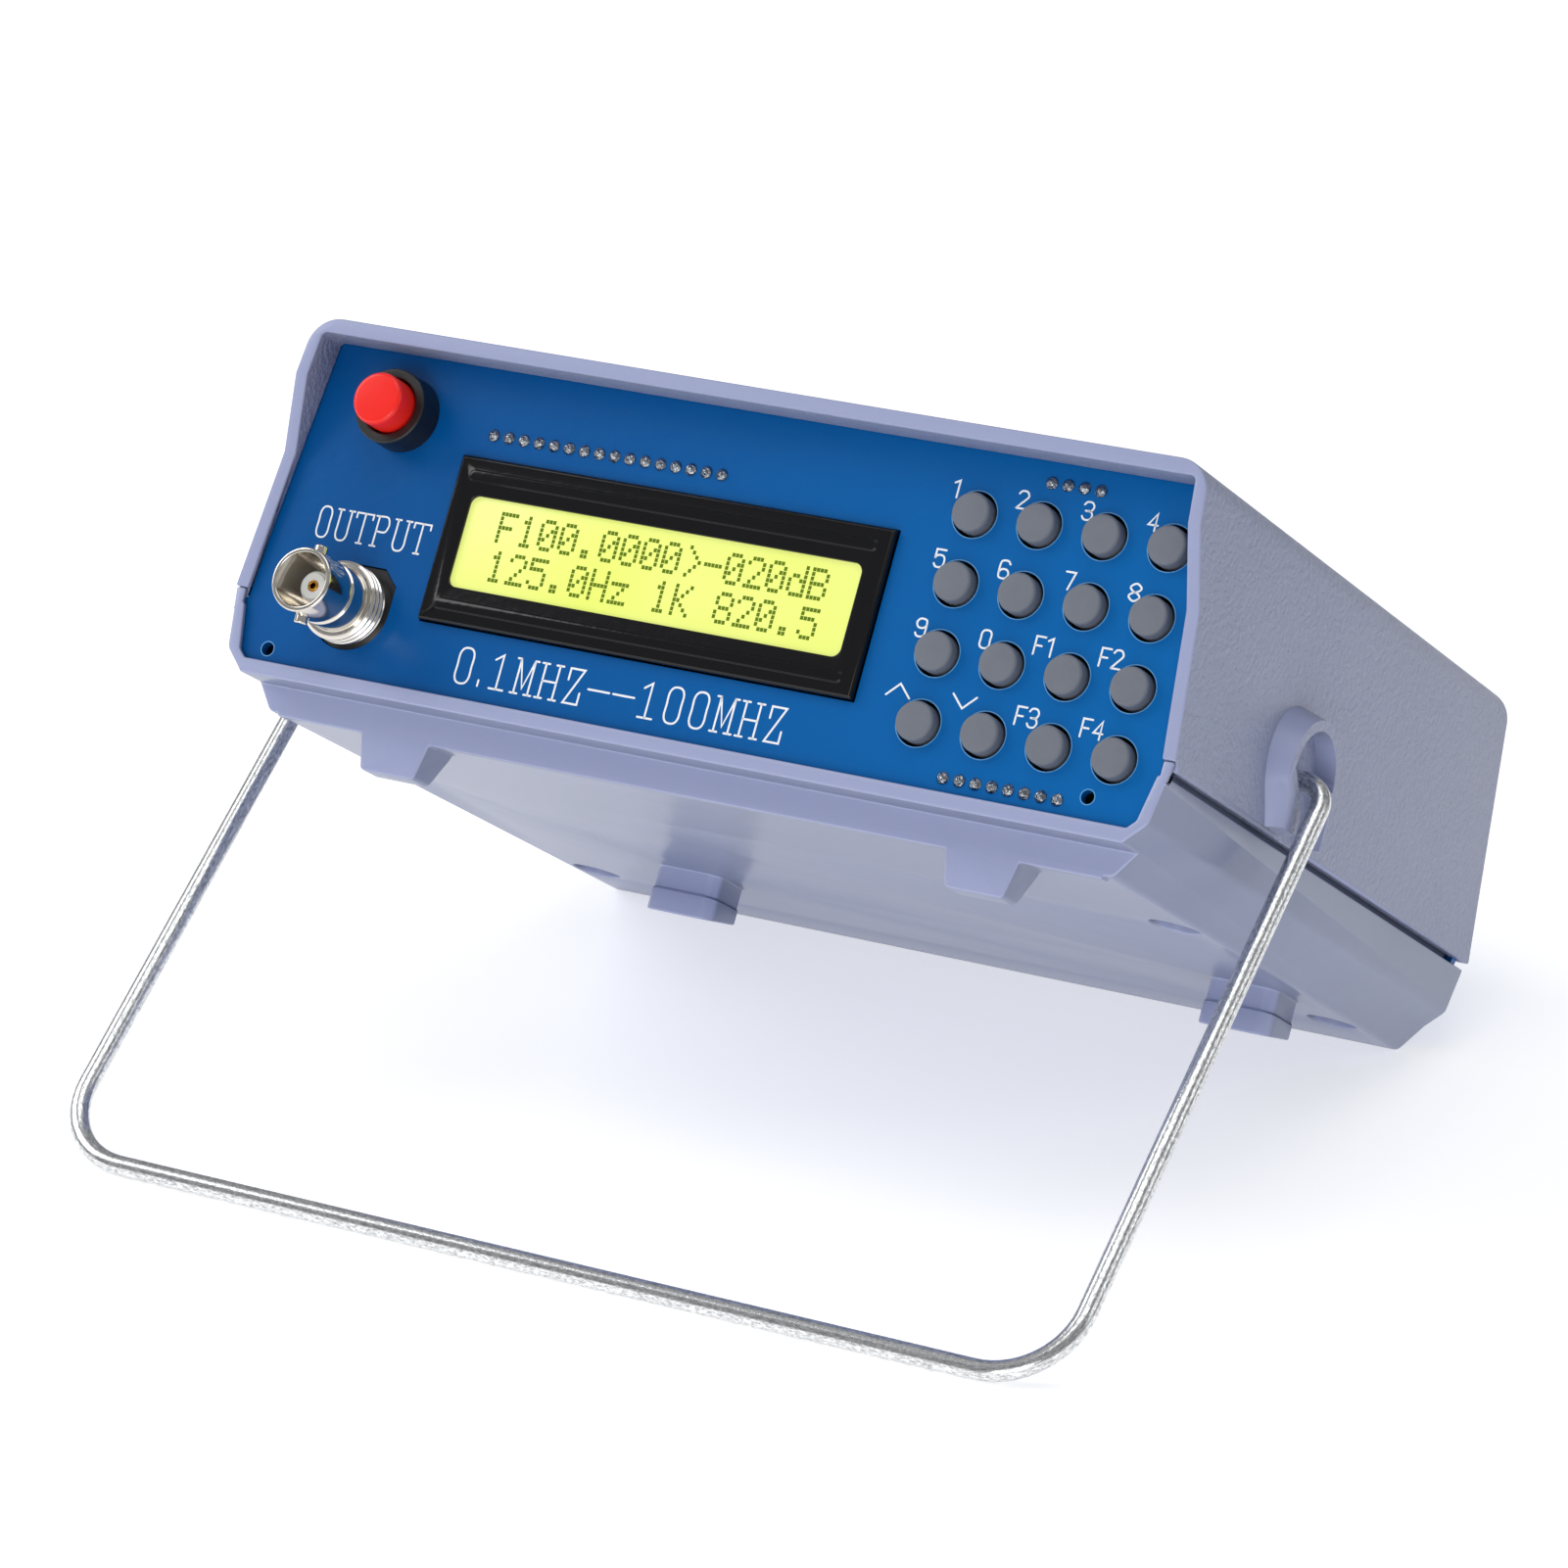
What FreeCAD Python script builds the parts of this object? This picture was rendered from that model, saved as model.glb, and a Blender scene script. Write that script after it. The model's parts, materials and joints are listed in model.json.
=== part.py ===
import FreeCAD
import Part
import math
import os

# Bench signal instrument in a two-part plastic case with a wire bail that props its front up.
# Lengths are millimetres. Everything is first drawn in the case's own frame: x to the right,
# y backwards from the front face of the panel, z up from the panel's lower edge. At the end the
# whole object is tipped back until it stands on the bail and on the lower back edge of the case.

# case
CASE_BACK = 119.5
ROOF = 51.0
ROOF_HALF = 72.8
ROOF_ROUND = 5.0
SEAM_TOP = 8.9
SEAM_HALF = 76.9
SIDE_WALL = 2.0
ROOF_WALL = 2.3
VISOR = 6.3
VISOR_LOW = 42.0
VISOR_FOOT = 31.0
VISOR_FOOT_OUT = 1.8
FRAME_OUT = 1.2
JOINT_FRONT = 10.2
RIM_TOP = 7.9
RIM_HALF = 76.2
BILGE = (75.2, 1.0)
CREASE = (72.5, -1.7)
KEEL = (69.2, -6.15)
FLOOR_WALL = 2.1
LIP_LOW = -2.2
SKIRT_FRONT = 5.0
SKIRT_LOW = -6.65
TONGUE_HALF = 74.45
TONGUE_WALL = 1.3
TONGUE_TOP = 11.0

# feet
FRONT_FEET_X = (-47.3, 49.0)
FRONT_FOOT_WIDE = 11.8
FRONT_FOOT_LOW = -12.0
REAR_FEET_X = (-36.1, 58.6)
REAR_FOOT_WIDE = 11.4
REAR_FOOT_FRONT = 80.5
REAR_FOOT_DEEP = 8.5
REAR_FOOT_LOW = -13.3
REAR_FOOT_STEP = -9.7

# case screws and board screws
CASE_SCREW_X = 64.3
CASE_SCREW_Y = (39.8, 103.5)
COUNTERBORE_R = 3.85
SCREW_SEAT = 6.0
BOARD_SCREW_X = 50.0
BOARD_SCREW_Y = (24.0, 100.0)

# bail
WIRE_R = 1.5
PIVOT_Y = 40.0
PIVOT_Z = 18.0
BAIL_REACH = 102.0
STAND_ANGLE = math.radians(22.5)
LEG_X = 81.9
CORNER_R = 12.0
BEND_R = 4.5
WIRE_END_X = 72.8
WIRE_HOLE_R = 1.65
BOSS_FACE_X = 79.3
BOSS_ROOT_X = 74.95
BOSS_R = 9.0
BOSS_ROOT_R = 10.4
POCKET_R = 7.4
POCKET_FLOOR_X = 76.2

# panels
PANEL = 1.6
PANEL_SLOT = 0.9
PANEL_GRIP = 0.7
MOUTH_HALF_TOP = 71.05
MOUTH_HALF_SEAM = 75.0
MOUTH_HALF_LOW = 73.3
MOUTH_TOP = ROOF - ROOF_WALL
MOUTH_CORNER = 0.8
MOUTH_SEAM_Z = 9.9
REAR_PANEL_Y = 116.0
PANEL_HOLES = ((-69.2, 2.0), (64.8, 3.3))

# display module
LCD_LEFT = -45.5
LCD_RIGHT = 26.05
LCD_LOW = 10.4
LCD_HIGH = 35.3
LCD_FRONT = -1.2
LCD_SHEET = 0.6
WINDOW_LEFT = -42.1
WINDOW_RIGHT = 22.55
WINDOW_LOW = 15.85
WINDOW_HIGH = 29.6
LCD_BOARD_Y = 5.8
LCD_BOARD_WIDE = 80.0
LCD_BOARD_HIGH = 36.0
PIN_PITCH = 2.54
LCD_PINS = (-41.9, 38.95, 16)
UPPER_PINS = (47.15, 45.75, 4)
LOWER_PINS = (42.65, 2.1, 8)

# keypad
KEY_NAMES = ("1", "2", "3", "4", "5", "6", "7", "8", "9", "0", "f1", "f2", "up", "down", "f3", "f4")
KEY_PITCH = 10.16
KEY_X = 36.8
KEY_Z = 39.5
KEY_R = 2.9
KEY_HOLE_R = 3.4
KEY_OUT = 1.8
KEY_BACK = 3.2
STEM_R = 1.6
STEM_BACK = 4.6
SWITCH_FRONT = 4.2
SWITCH_WIDE = 6.0
KEY_BOARD_Y = 7.7

# power button
POWER_X = -57.4
POWER_Z = 39.7
COLLAR_R = 5.65
COLLAR_OUT = 5.0
BUSH_R = 5.0
BUSH_BACK = 8.0
CAP_R = 3.95
CAP_BORE_R = 4.2
CAP_OUT = 9.0
CAP_BACK = 1.5
PLUNGER_R = 2.0
PLUNGER_BACK = 8.6
SWITCH_R = 5.8
SWITCH_BACK = 20.0

# output jack
JACK_X = -57.4
JACK_Z = 10.35
JACK_FRONT = -15.2
JACK_R = 4.8
CUP_R = 4.05
CUP_FLOOR = -5.0
THREAD_R = 6.0
THREAD_FRONT = -4.2
LUG_Y = -12.0
LUG_R = 1.0
LUG_OUT = 5.9
INSULATOR_R = 2.3
INSULATOR_FRONT = -11.5
CONTACT_R = 0.85
HOUSING_WIDE = 14.5
HOUSING_BACK = 13.0
GROOVE_FRONT = -9.2
GROOVE_BACK = -8.0
GROOVE_DEEP = 0.3
THREAD_PITCH = 1.1
THREAD_DEEP = 0.45
JACK_HOLE_HALF = 6.45
JACK_HOLE_CUT = 2.4

# main board and supply inlet
BOARD_HALF = 57.0
BOARD_FRONT = 14.5
BOARD_BACK = 110.0
BOARD_Z = 4.0
BOARD = 1.6
BOARD_TOP = BOARD_Z + BOARD
CAN_LEFT = -45.0
CAN_FRONT = 34.0
CAN_SIDE = 40.0
CAN_TALL = 9.0
CAN_SHEET = 0.5
VENT_PITCH = 7.0
CHIP_TALL = 1.4
REGULATOR_X = -25.0
REGULATOR_Y = 92.5
SINK_TALL = 22.0
FIN_PITCH = 4.4
RIBBON = 0.9
RIBBON_X = (33.5, 46.2)
COAX_R = 1.3
INLET_X = 40.0
INLET_Z = 14.0
INLET_R = 5.5
INLET_BORE_R = 3.1
INLET_PIN_R = 1.05

V = FreeCAD.Vector


# ---------------------------------------------------------------- drawing helpers

def in_xz(a, b):
    """A point of a section across the case."""
    return V(a, 0, b)


def in_yz(a, b):
    """A point of a side profile."""
    return V(0, a, b)


def outline(points, radii, plane):
    """A closed wire through the points, with each corner rounded to its radius."""
    count = len(points)
    corners = []
    for i in range(count):
        here = plane(*points[i])
        before = (plane(*points[i - 1]) - here).normalize()
        after = (plane(*points[(i + 1) % count]) - here).normalize()
        if radii[i] == 0:
            corners.append((here, None, here))
            continue
        half = before.getAngle(after) / 2
        step = radii[i] / math.tan(half)
        middle = (before + after).normalize()
        crown = here + middle * (radii[i] / math.sin(half) - radii[i])
        corners.append((here + before * step, crown, here + after * step))
    edges = []
    for i in range(count):
        start, crown, end = corners[i]
        if crown is not None:
            edges.append(Part.Arc(start, crown, end).toShape())
        onward = corners[(i + 1) % count][0]
        if end.distanceToPoint(onward) > 1e-6:
            edges.append(Part.LineSegment(end, onward).toShape())
    return Part.Wire(edges)


def prism_y(points, radii, front, back):
    """A section across the case, drawn out along y."""
    face = Part.Face(outline(points, radii, in_xz))
    face.translate(V(0, front, 0))
    return face.extrude(V(0, back - front, 0))


def prism_x(points, radii, left, right):
    """A side profile, drawn out along x."""
    face = Part.Face(outline(points, radii, in_yz))
    face.translate(V(left, 0, 0))
    return face.extrude(V(right - left, 0, 0))


def block(x0, x1, y0, y1, z0, z1):
    return Part.makeBox(x1 - x0, y1 - y0, z1 - z0, V(x0, y0, z0))


def rod_y(x, z, radius, front, back):
    return Part.makeCylinder(radius, back - front, V(x, front, z), V(0, 1, 0))


def rod_z(x, y, radius, low, high):
    return Part.makeCylinder(radius, high - low, V(x, y, low), V(0, 0, 1))


def rod_x(y, z, radius, left, right):
    return Part.makeCylinder(radius, right - left, V(left, y, z), V(1, 0, 0))


def both_ways(points):
    """A right half outline, from top to bottom, with its mirror image added."""
    return points + [(-a, b) for a, b in reversed(points)]


def mirrored(shape):
    return shape.mirror(V(0, 0, 0), V(1, 0, 0))


def joined(shapes):
    """One solid from shapes that touch or overlap."""
    whole = shapes[0].fuse(shapes[1:]) if len(shapes) > 1 else shapes[0]
    return whole.removeSplitter()


def turned(points, x, z):
    """A solid of revolution about a line along y; points are (radius, y)."""
    wire = Part.makePolygon([V(r, y, 0) for r, y in points] + [V(points[0][0], points[0][1], 0)])
    solid = Part.Face(wire).revolve(V(0, 0, 0), V(0, 1, 0), 360)
    solid.translate(V(x, 0, z))
    return solid


def soften(shape, radius, chosen):
    """Rounds the edges that the test picks."""
    edges = [e for e in shape.Edges if chosen(e)]
    return shape.makeFillet(radius, edges)


# ---------------------------------------------------------------- case

def mouth(grow):
    """Outline of the case's inside at a panel, grown into the panel slots, with its corner radii."""
    right = [
        (MOUTH_HALF_TOP + grow, MOUTH_TOP + grow),
        (MOUTH_HALF_SEAM + grow, MOUTH_SEAM_Z),
        (MOUTH_HALF_LOW + grow, 1.2),
        (MOUTH_HALF_LOW - 1.2 + grow / 2, -grow),
    ]
    return both_ways(right), [MOUTH_CORNER, 0, 0, 0, 0, 0, 0, MOUTH_CORNER]


def slots():
    """The two grooves that hold the front and rear panels."""
    points, radii = mouth(PANEL_SLOT)
    front = prism_y(points, radii, -0.15, PANEL + 0.15)
    rear = prism_y(points, radii, REAR_PANEL_Y - 0.15, REAR_PANEL_Y + PANEL + 0.15)
    return [front, rear]


def boss_outline(radius, foot):
    """Round-headed outline of the bail boss, narrower at its foot."""
    neck = radius * 0.72
    low = SEAM_TOP + foot
    start = V(0, PIVOT_Y - radius * math.cos(0.35), PIVOT_Z - radius * math.sin(0.35))
    end = V(0, PIVOT_Y + radius, PIVOT_Z)
    edges = [
        Part.Arc(start, V(0, PIVOT_Y, PIVOT_Z + radius), end).toShape(),
        Part.LineSegment(end, V(0, PIVOT_Y + radius, low)).toShape(),
        Part.LineSegment(V(0, PIVOT_Y + radius, low), V(0, PIVOT_Y - neck, low)).toShape(),
        Part.LineSegment(V(0, PIVOT_Y - neck, low), start).toShape(),
    ]
    return Part.Wire(edges)


def bail_boss():
    """The raised boss on the right side that the bail's end turns in."""
    root = boss_outline(BOSS_ROOT_R, 0.3)
    root.translate(V(BOSS_ROOT_X, 0, 0))
    face = boss_outline(BOSS_R, 0.9)
    face.translate(V(BOSS_FACE_X, 0, 0))
    return Part.makeLoft([root, face], True, True)


def bail_pocket():
    """The open pocket in the boss: a round head, a nick that holds the wire, and a channel down."""
    points = [
        (PIVOT_Y - 7.0, PIVOT_Z + 0.3),
        (PIVOT_Y - 4.0, PIVOT_Z - 2.4),
        (PIVOT_Y - 1.6, PIVOT_Z - 5.0),
        (PIVOT_Y - 1.2, SEAM_TOP - 2),
        (PIVOT_Y + 8.0, SEAM_TOP - 2),
        (PIVOT_Y + 8.0, PIVOT_Z - 1.6),
        (PIVOT_Y + 6.4, PIVOT_Z - 1.0),
        (PIVOT_Y + 5.6, PIVOT_Z + 1.2),
        (PIVOT_Y + 7.2, PIVOT_Z + 1.8),
    ]
    channel = prism_x(points, [0] * len(points), POCKET_FLOOR_X, LEG_X)
    head = rod_x(PIVOT_Y, PIVOT_Z, POCKET_R, POCKET_FLOOR_X, LEG_X)
    above = block(POCKET_FLOOR_X, LEG_X, PIVOT_Y - 9, PIVOT_Y + 9, PIVOT_Z + 0.3, PIVOT_Z + 9)
    return channel.fuse(head.common(above)).removeSplitter()


def top_shell():
    outer = [(ROOF_HALF, ROOF), (SEAM_HALF, SEAM_TOP)]
    shell = prism_y(both_ways(outer), [ROOF_ROUND, 0, 0, ROOF_ROUND], -VISOR, CASE_BACK)
    inner = [(MOUTH_HALF_TOP, MOUTH_TOP), (SEAM_HALF - SIDE_WALL, SEAM_TOP - 1)]
    hollow = prism_y(both_ways(inner), [MOUTH_CORNER, 0, 0, MOUTH_CORNER], -VISOR - 1, CASE_BACK + 1)
    side = [
        (-VISOR - 1, VISOR_LOW),
        (-VISOR, VISOR_LOW),
        (-VISOR_FOOT_OUT, VISOR_FOOT),
        (-FRAME_OUT, SEAM_TOP - 1),
        (-VISOR - 1, SEAM_TOP - 1),
    ]
    shell = shell.cut([hollow, prism_x(side, [0] * 5, -SEAM_HALF - 1, SEAM_HALF + 1)])
    shell = shell.cut(block(-80, 80, -3, -0.2, SEAM_TOP - 1, JOINT_FRONT))
    extras = []
    cuts = slots()
    for sign in (-1, 1):
        boss = bail_boss()
        socket = rod_x(PIVOT_Y, PIVOT_Z, 4.0, 71.0, 75.0)
        pocket = bail_pocket()
        wire_hole = rod_x(PIVOT_Y, PIVOT_Z, WIRE_HOLE_R, WIRE_END_X - 0.5, LEG_X)
        extras += [boss, socket] if sign > 0 else [mirrored(boss), mirrored(socket)]
        cuts += [pocket, wire_hole] if sign > 0 else [mirrored(pocket), mirrored(wire_hole)]
        for y in CASE_SCREW_Y:
            extras.append(rod_z(sign * CASE_SCREW_X, y, 3.5, SEAM_TOP + 0.6, MOUTH_TOP + 0.5))
            cuts.append(rod_z(sign * CASE_SCREW_X, y, 1.5, SEAM_TOP, SEAM_TOP + 14))
    return shell.fuse(extras).cut(cuts).removeSplitter()


def front_foot(x):
    """A wedge under the front edge, its sides drawn in towards the tip."""
    half = FRONT_FOOT_WIDE / 2
    side = [
        (SKIRT_FRONT, KEEL[1] + 1),
        (SKIRT_FRONT, FRONT_FOOT_LOW),
        (SKIRT_FRONT + 4.8, FRONT_FOOT_LOW),
        (SKIRT_FRONT + 7.2, KEEL[1] - 1.1),
        (SKIRT_FRONT + 7.8, KEEL[1] + 1),
    ]
    wedge = prism_x(side, [0, 0, 0.6, 0, 0], x - half, x + half)
    draft = [(x + half, KEEL[1] + 1), (x + half, KEEL[1]), (x + half - 1.1, FRONT_FOOT_LOW)]
    draft += [(x - half + 1.6, FRONT_FOOT_LOW), (x - half, KEEL[1]), (x - half, KEEL[1] + 1)]
    return wedge.common(prism_y(draft, [0, 0, 0.8, 0.8, 0, 0], SKIRT_FRONT, SKIRT_FRONT + 9))


def rear_foot(x):
    """A block with round front corners, a step part way down and a sole that rises to the back."""
    half = REAR_FOOT_WIDE / 2
    front = REAR_FOOT_FRONT
    back = front + REAR_FOOT_DEEP
    upper = block(x - half, x + half, front, back, REAR_FOOT_STEP - 0.1, KEEL[1] + 1)
    lower = block(x - half - 0.25, x + half + 0.25, front - 0.25, back, REAR_FOOT_LOW, REAR_FOOT_STEP)

    def upright_front(edge):
        ends = edge.Vertexes[0].Point - edge.Vertexes[1].Point
        return abs(ends.x) < 0.01 and abs(ends.y) < 0.01 and edge.CenterOfMass.y < front + 0.1
    upper = soften(upper, 2.2, upright_front)
    lower = soften(lower, 2.45, upright_front)
    foot = upper.fuse(lower)
    sole = [(front - 1, REAR_FOOT_LOW - 0.15), (back + 1, REAR_FOOT_LOW + 1.35)]
    sole += [(back + 1, REAR_FOOT_LOW - 3), (front - 1, REAR_FOOT_LOW - 3)]
    return foot.cut(prism_x(sole, [0] * 4, x - 8, x + 8))


def bottom_shell():
    outer = [(RIM_HALF, RIM_TOP), BILGE, CREASE, KEEL]
    shell = prism_y(both_ways(outer), [0, 2.0, 0, 1.4, 1.4, 0, 2.0, 0], -FRAME_OUT, CASE_BACK)
    shell = shell.cut(block(-80, 80, -3, SKIRT_FRONT, -9, LIP_LOW))
    inner = [
        (RIM_HALF - 2.2, RIM_TOP + 1),
        (BILGE[0] - 2.1, BILGE[1] + 0.8),
        (CREASE[0] - 2.1, CREASE[1] + 1.1),
        (KEEL[0] - 1.4, KEEL[1] + FLOOR_WALL),
    ]
    back_part = prism_y(both_ways(inner), [0] * 8, SKIRT_FRONT + 2.2, CASE_BACK + 1)
    points, radii = mouth(0)
    front_part = prism_y(points, radii, -FRAME_OUT - 1, SKIRT_FRONT + 2.3)
    shell = shell.cut([back_part, front_part])
    extras = [block(-KEEL[0] + 1.5, KEEL[0] - 1.5, SKIRT_FRONT, SKIRT_FRONT + 2.2, SKIRT_LOW, KEEL[1] + 1)]
    extras += [front_foot(x) for x in FRONT_FEET_X]
    extras += [rear_foot(x) for x in REAR_FEET_X]
    cuts = slots()
    ear = [(MOUTH_HALF_SEAM, RIM_TOP - 1), (RIM_HALF - 0.1, RIM_TOP - 1)]
    ear += [(RIM_HALF + 0.35, JOINT_FRONT - 0.15), (MOUTH_HALF_SEAM, JOINT_FRONT - 0.15)]
    tongue = [(TONGUE_HALF, TONGUE_TOP - 6), (TONGUE_HALF - TONGUE_WALL, TONGUE_TOP - 6)]
    tongue += [(TONGUE_HALF - TONGUE_WALL, TONGUE_TOP), (TONGUE_HALF - 0.2, TONGUE_TOP)]
    for part, first, last in ((ear, -FRAME_OUT, -0.2), (tongue, PANEL + 0.4, REAR_PANEL_Y - 0.4)):
        solid = prism_y(part, [0] * 4, first, last)
        extras += [solid, mirrored(solid)]
    for sign in (-1, 1):
        for y in CASE_SCREW_Y:
            extras.append(rod_z(sign * CASE_SCREW_X, y, 5.0, KEEL[1] + 0.5, SEAM_TOP + 0.2))
            cuts.append(rod_z(sign * CASE_SCREW_X, y, COUNTERBORE_R, KEEL[1] - 1, SCREW_SEAT))
            cuts.append(rod_z(sign * CASE_SCREW_X, y, 1.65, SCREW_SEAT - 1, SEAM_TOP + 1))
        for y in BOARD_SCREW_Y:
            extras.append(rod_z(sign * BOARD_SCREW_X, y, 3.0, KEEL[1] + 1, BOARD_Z))
            cuts.append(rod_z(sign * BOARD_SCREW_X, y, 1.2, KEEL[1] + 4, BOARD_Z + 1))
    return shell.fuse(extras).cut(cuts).removeSplitter()


def case_screws():
    """Four pan-head screws, up through the bottom shell into the posts of the top shell."""
    screws = []
    for sign in (-1, 1):
        for y in CASE_SCREW_Y:
            x = sign * CASE_SCREW_X
            head = rod_z(x, y, 2.8, SCREW_SEAT - 2.0, SCREW_SEAT)
            shank = rod_z(x, y, 1.45, SCREW_SEAT, SCREW_SEAT + 14)
            cross = block(x - 1.6, x + 1.6, y - 0.3, y + 0.3, SCREW_SEAT - 2, SCREW_SEAT - 1)
            across = block(x - 0.3, x + 0.3, y - 1.6, y + 1.6, SCREW_SEAT - 2, SCREW_SEAT - 1)
            screws.append(head.fuse(shank).cut([cross, across]).removeSplitter())
    return Part.makeCompound(screws)


def bail():
    """One length of wire: ends turned in to the pivots, two legs, two wide corners and a crossbar."""
    def at(x, down):
        return V(x, -math.sin(STAND_ANGLE) * down, -math.cos(STAND_ANGLE) * down)

    def corner(x, down, radius, inward, upward):
        """Arc between a run along x and a leg; inward and upward say where its centre lies."""
        bow = radius * (1 - math.sqrt(0.5))
        side_point = at(x, down + upward * radius)
        flat_point = at(x + inward * radius, down)
        middle = at(x + inward * bow, down + upward * bow)
        return side_point, middle, flat_point

    right_top = corner(LEG_X, 0, BEND_R, -1, 1)
    right_low = corner(LEG_X, BAIL_REACH, CORNER_R, -1, -1)
    left_low = corner(-LEG_X, BAIL_REACH, CORNER_R, 1, -1)
    left_top = corner(-LEG_X, 0, BEND_R, 1, 1)
    path = [
        Part.LineSegment(at(WIRE_END_X, 0), right_top[2]),
        Part.Arc(right_top[2], right_top[1], right_top[0]),
        Part.LineSegment(right_top[0], right_low[0]),
        Part.Arc(right_low[0], right_low[1], right_low[2]),
        Part.LineSegment(right_low[2], left_low[2]),
        Part.Arc(left_low[2], left_low[1], left_low[0]),
        Part.LineSegment(left_low[0], left_top[0]),
        Part.Arc(left_top[0], left_top[1], left_top[2]),
        Part.LineSegment(left_top[2], at(-WIRE_END_X, 0)),
    ]
    spine = Part.Wire([piece.toShape() for piece in path])
    ring = Part.Wire(Part.makeCircle(WIRE_R, at(WIRE_END_X, 0), V(1, 0, 0)))
    wire = spine.makePipeShell([ring], True, False)
    wire.translate(V(0, PIVOT_Y, PIVOT_Z))
    return wire


# ---------------------------------------------------------------- panels

def key_places():
    """Name and centre of every key, row by row from the top left."""
    for i, name in enumerate(KEY_NAMES):
        yield name, KEY_X + KEY_PITCH * (i % 4), KEY_Z - KEY_PITCH * (i // 4)


def pin_places(row):
    first, z, count = row
    return [(first + PIN_PITCH * i, z) for i in range(count)]


def jack_hole(front, back, gap=0.0):
    """The output jack's opening, round below and square with cut corners above, or a key in it."""
    half = JACK_HOLE_HALF - gap
    near = half - JACK_HOLE_CUT
    corners = [(half, near), (half, -half), (-half, -half), (-half, near), (-near, half), (near, half)]
    points = [(JACK_X + a, JACK_Z + b) for a, b in corners]
    return prism_y(points, [0, half - 0.1, half - 0.1, 0, 0, 0], front, back)


def front_panel():
    points, radii = mouth(PANEL_GRIP)
    panel = prism_y(points, radii, 0, PANEL)
    holes = [rod_y(x, z, KEY_HOLE_R, -1, PANEL + 1) for name, x, z in key_places()]
    holes += [rod_y(x, z, 1.0, -1, PANEL + 1) for x, z in PANEL_HOLES]
    for row in (LCD_PINS, UPPER_PINS, LOWER_PINS):
        holes += [rod_y(x, z, 0.45, -1, PANEL + 1) for x, z in pin_places(row)]
    holes.append(rod_y(POWER_X, POWER_Z, BUSH_R + 0.1, -1, PANEL + 1))
    holes.append(jack_hole(-1, PANEL + 1))
    holes.append(block(LCD_LEFT - 0.2, LCD_RIGHT + 0.2, -1, PANEL + 1, LCD_LOW - 0.2, LCD_HIGH + 0.2))
    return panel.cut(holes)


def rear_panel():
    points, radii = mouth(PANEL_GRIP)
    panel = prism_y(points, radii, REAR_PANEL_Y, REAR_PANEL_Y + PANEL)
    hole = rod_y(INLET_X, INLET_Z, INLET_R + 0.1, REAR_PANEL_Y - 1, REAR_PANEL_Y + PANEL + 1)
    return panel.cut(hole)


# ---------------------------------------------------------------- display

def lcd_frame():
    """Black folded-metal frame with a window and two long pressed ribs."""
    frame = block(LCD_LEFT, LCD_RIGHT, LCD_FRONT, LCD_BOARD_Y, LCD_LOW, LCD_HIGH)
    frame = soften(frame, 0.5, lambda e: e.CenterOfMass.y < LCD_FRONT + 0.01)
    inside = block(
        LCD_LEFT + LCD_SHEET, LCD_RIGHT - LCD_SHEET,
        LCD_FRONT + LCD_SHEET, LCD_BOARD_Y + 1,
        LCD_LOW + LCD_SHEET, LCD_HIGH - LCD_SHEET)
    window = prism_y(
        [(WINDOW_LEFT, WINDOW_LOW), (WINDOW_RIGHT, WINDOW_LOW),
         (WINDOW_RIGHT, WINDOW_HIGH), (WINDOW_LEFT, WINDOW_HIGH)],
        [1.4] * 4, LCD_FRONT - 1, LCD_FRONT + 2)
    frame = frame.cut([inside, window])
    ribs = []
    for z in ((LCD_LOW + WINDOW_LOW) / 2, (LCD_HIGH + WINDOW_HIGH) / 2):
        points = [(LCD_LEFT + 2.2, z - 0.8), (LCD_RIGHT - 2.2, z - 0.8)]
        points += [(LCD_RIGHT - 2.2, z + 0.8), (LCD_LEFT + 2.2, z + 0.8)]
        ribs.append(prism_y(points, [0.75] * 4, LCD_FRONT - 0.25, LCD_FRONT + 0.2))
    return joined([frame] + ribs)


def lcd_glass():
    return block(LCD_LEFT + 1, LCD_RIGHT - 1, LCD_FRONT + 0.65, LCD_FRONT + 2.6, LCD_LOW + 2, LCD_HIGH - 2)


def lcd_backlight():
    return block(LCD_LEFT + 1, LCD_RIGHT - 1, LCD_FRONT + 2.65, LCD_BOARD_Y, LCD_LOW + 2, LCD_HIGH - 2)


def lcd_board():
    middle_x = (LCD_LEFT + LCD_RIGHT) / 2
    middle_z = (LCD_LOW + LCD_HIGH) / 2 - 0.45
    left = middle_x - LCD_BOARD_WIDE / 2
    low = middle_z - LCD_BOARD_HIGH / 2
    right = left + LCD_BOARD_WIDE
    high = low + LCD_BOARD_HIGH
    board = block(left, right, LCD_BOARD_Y, LCD_BOARD_Y + PANEL, low, high)
    holes = [rod_y(x, z, 0.45, 0, 20) for x, z in pin_places(LCD_PINS)]
    for x in (left + 2.5, right - 2.5):
        for z in (low + 2.5, high - 2.5):
            holes.append(rod_y(x, z, 1.25, 0, 20))
    return board.cut(holes)


def header(row, board_y):
    """A pin strip soldered through the front panel and the board behind it, one solder dome a pin."""
    first, z, count = row
    strip = block(
        first - PIN_PITCH / 2, first + PIN_PITCH * (count - 0.5),
        board_y - 2.6, board_y - 0.1, z - PIN_PITCH / 2, z + PIN_PITCH / 2)
    pieces = [strip]
    for x, pin_z in pin_places(row):
        pieces.append(rod_y(x, pin_z, 0.35, -0.4, board_y + PANEL + 0.8))
        dome = Part.makeCone(0.92, 0.35, 0.62, V(x, 0, pin_z), V(0, -1, 0))
        pieces.append(dome)
    return joined(pieces)


# ---------------------------------------------------------------- keys and button

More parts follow.
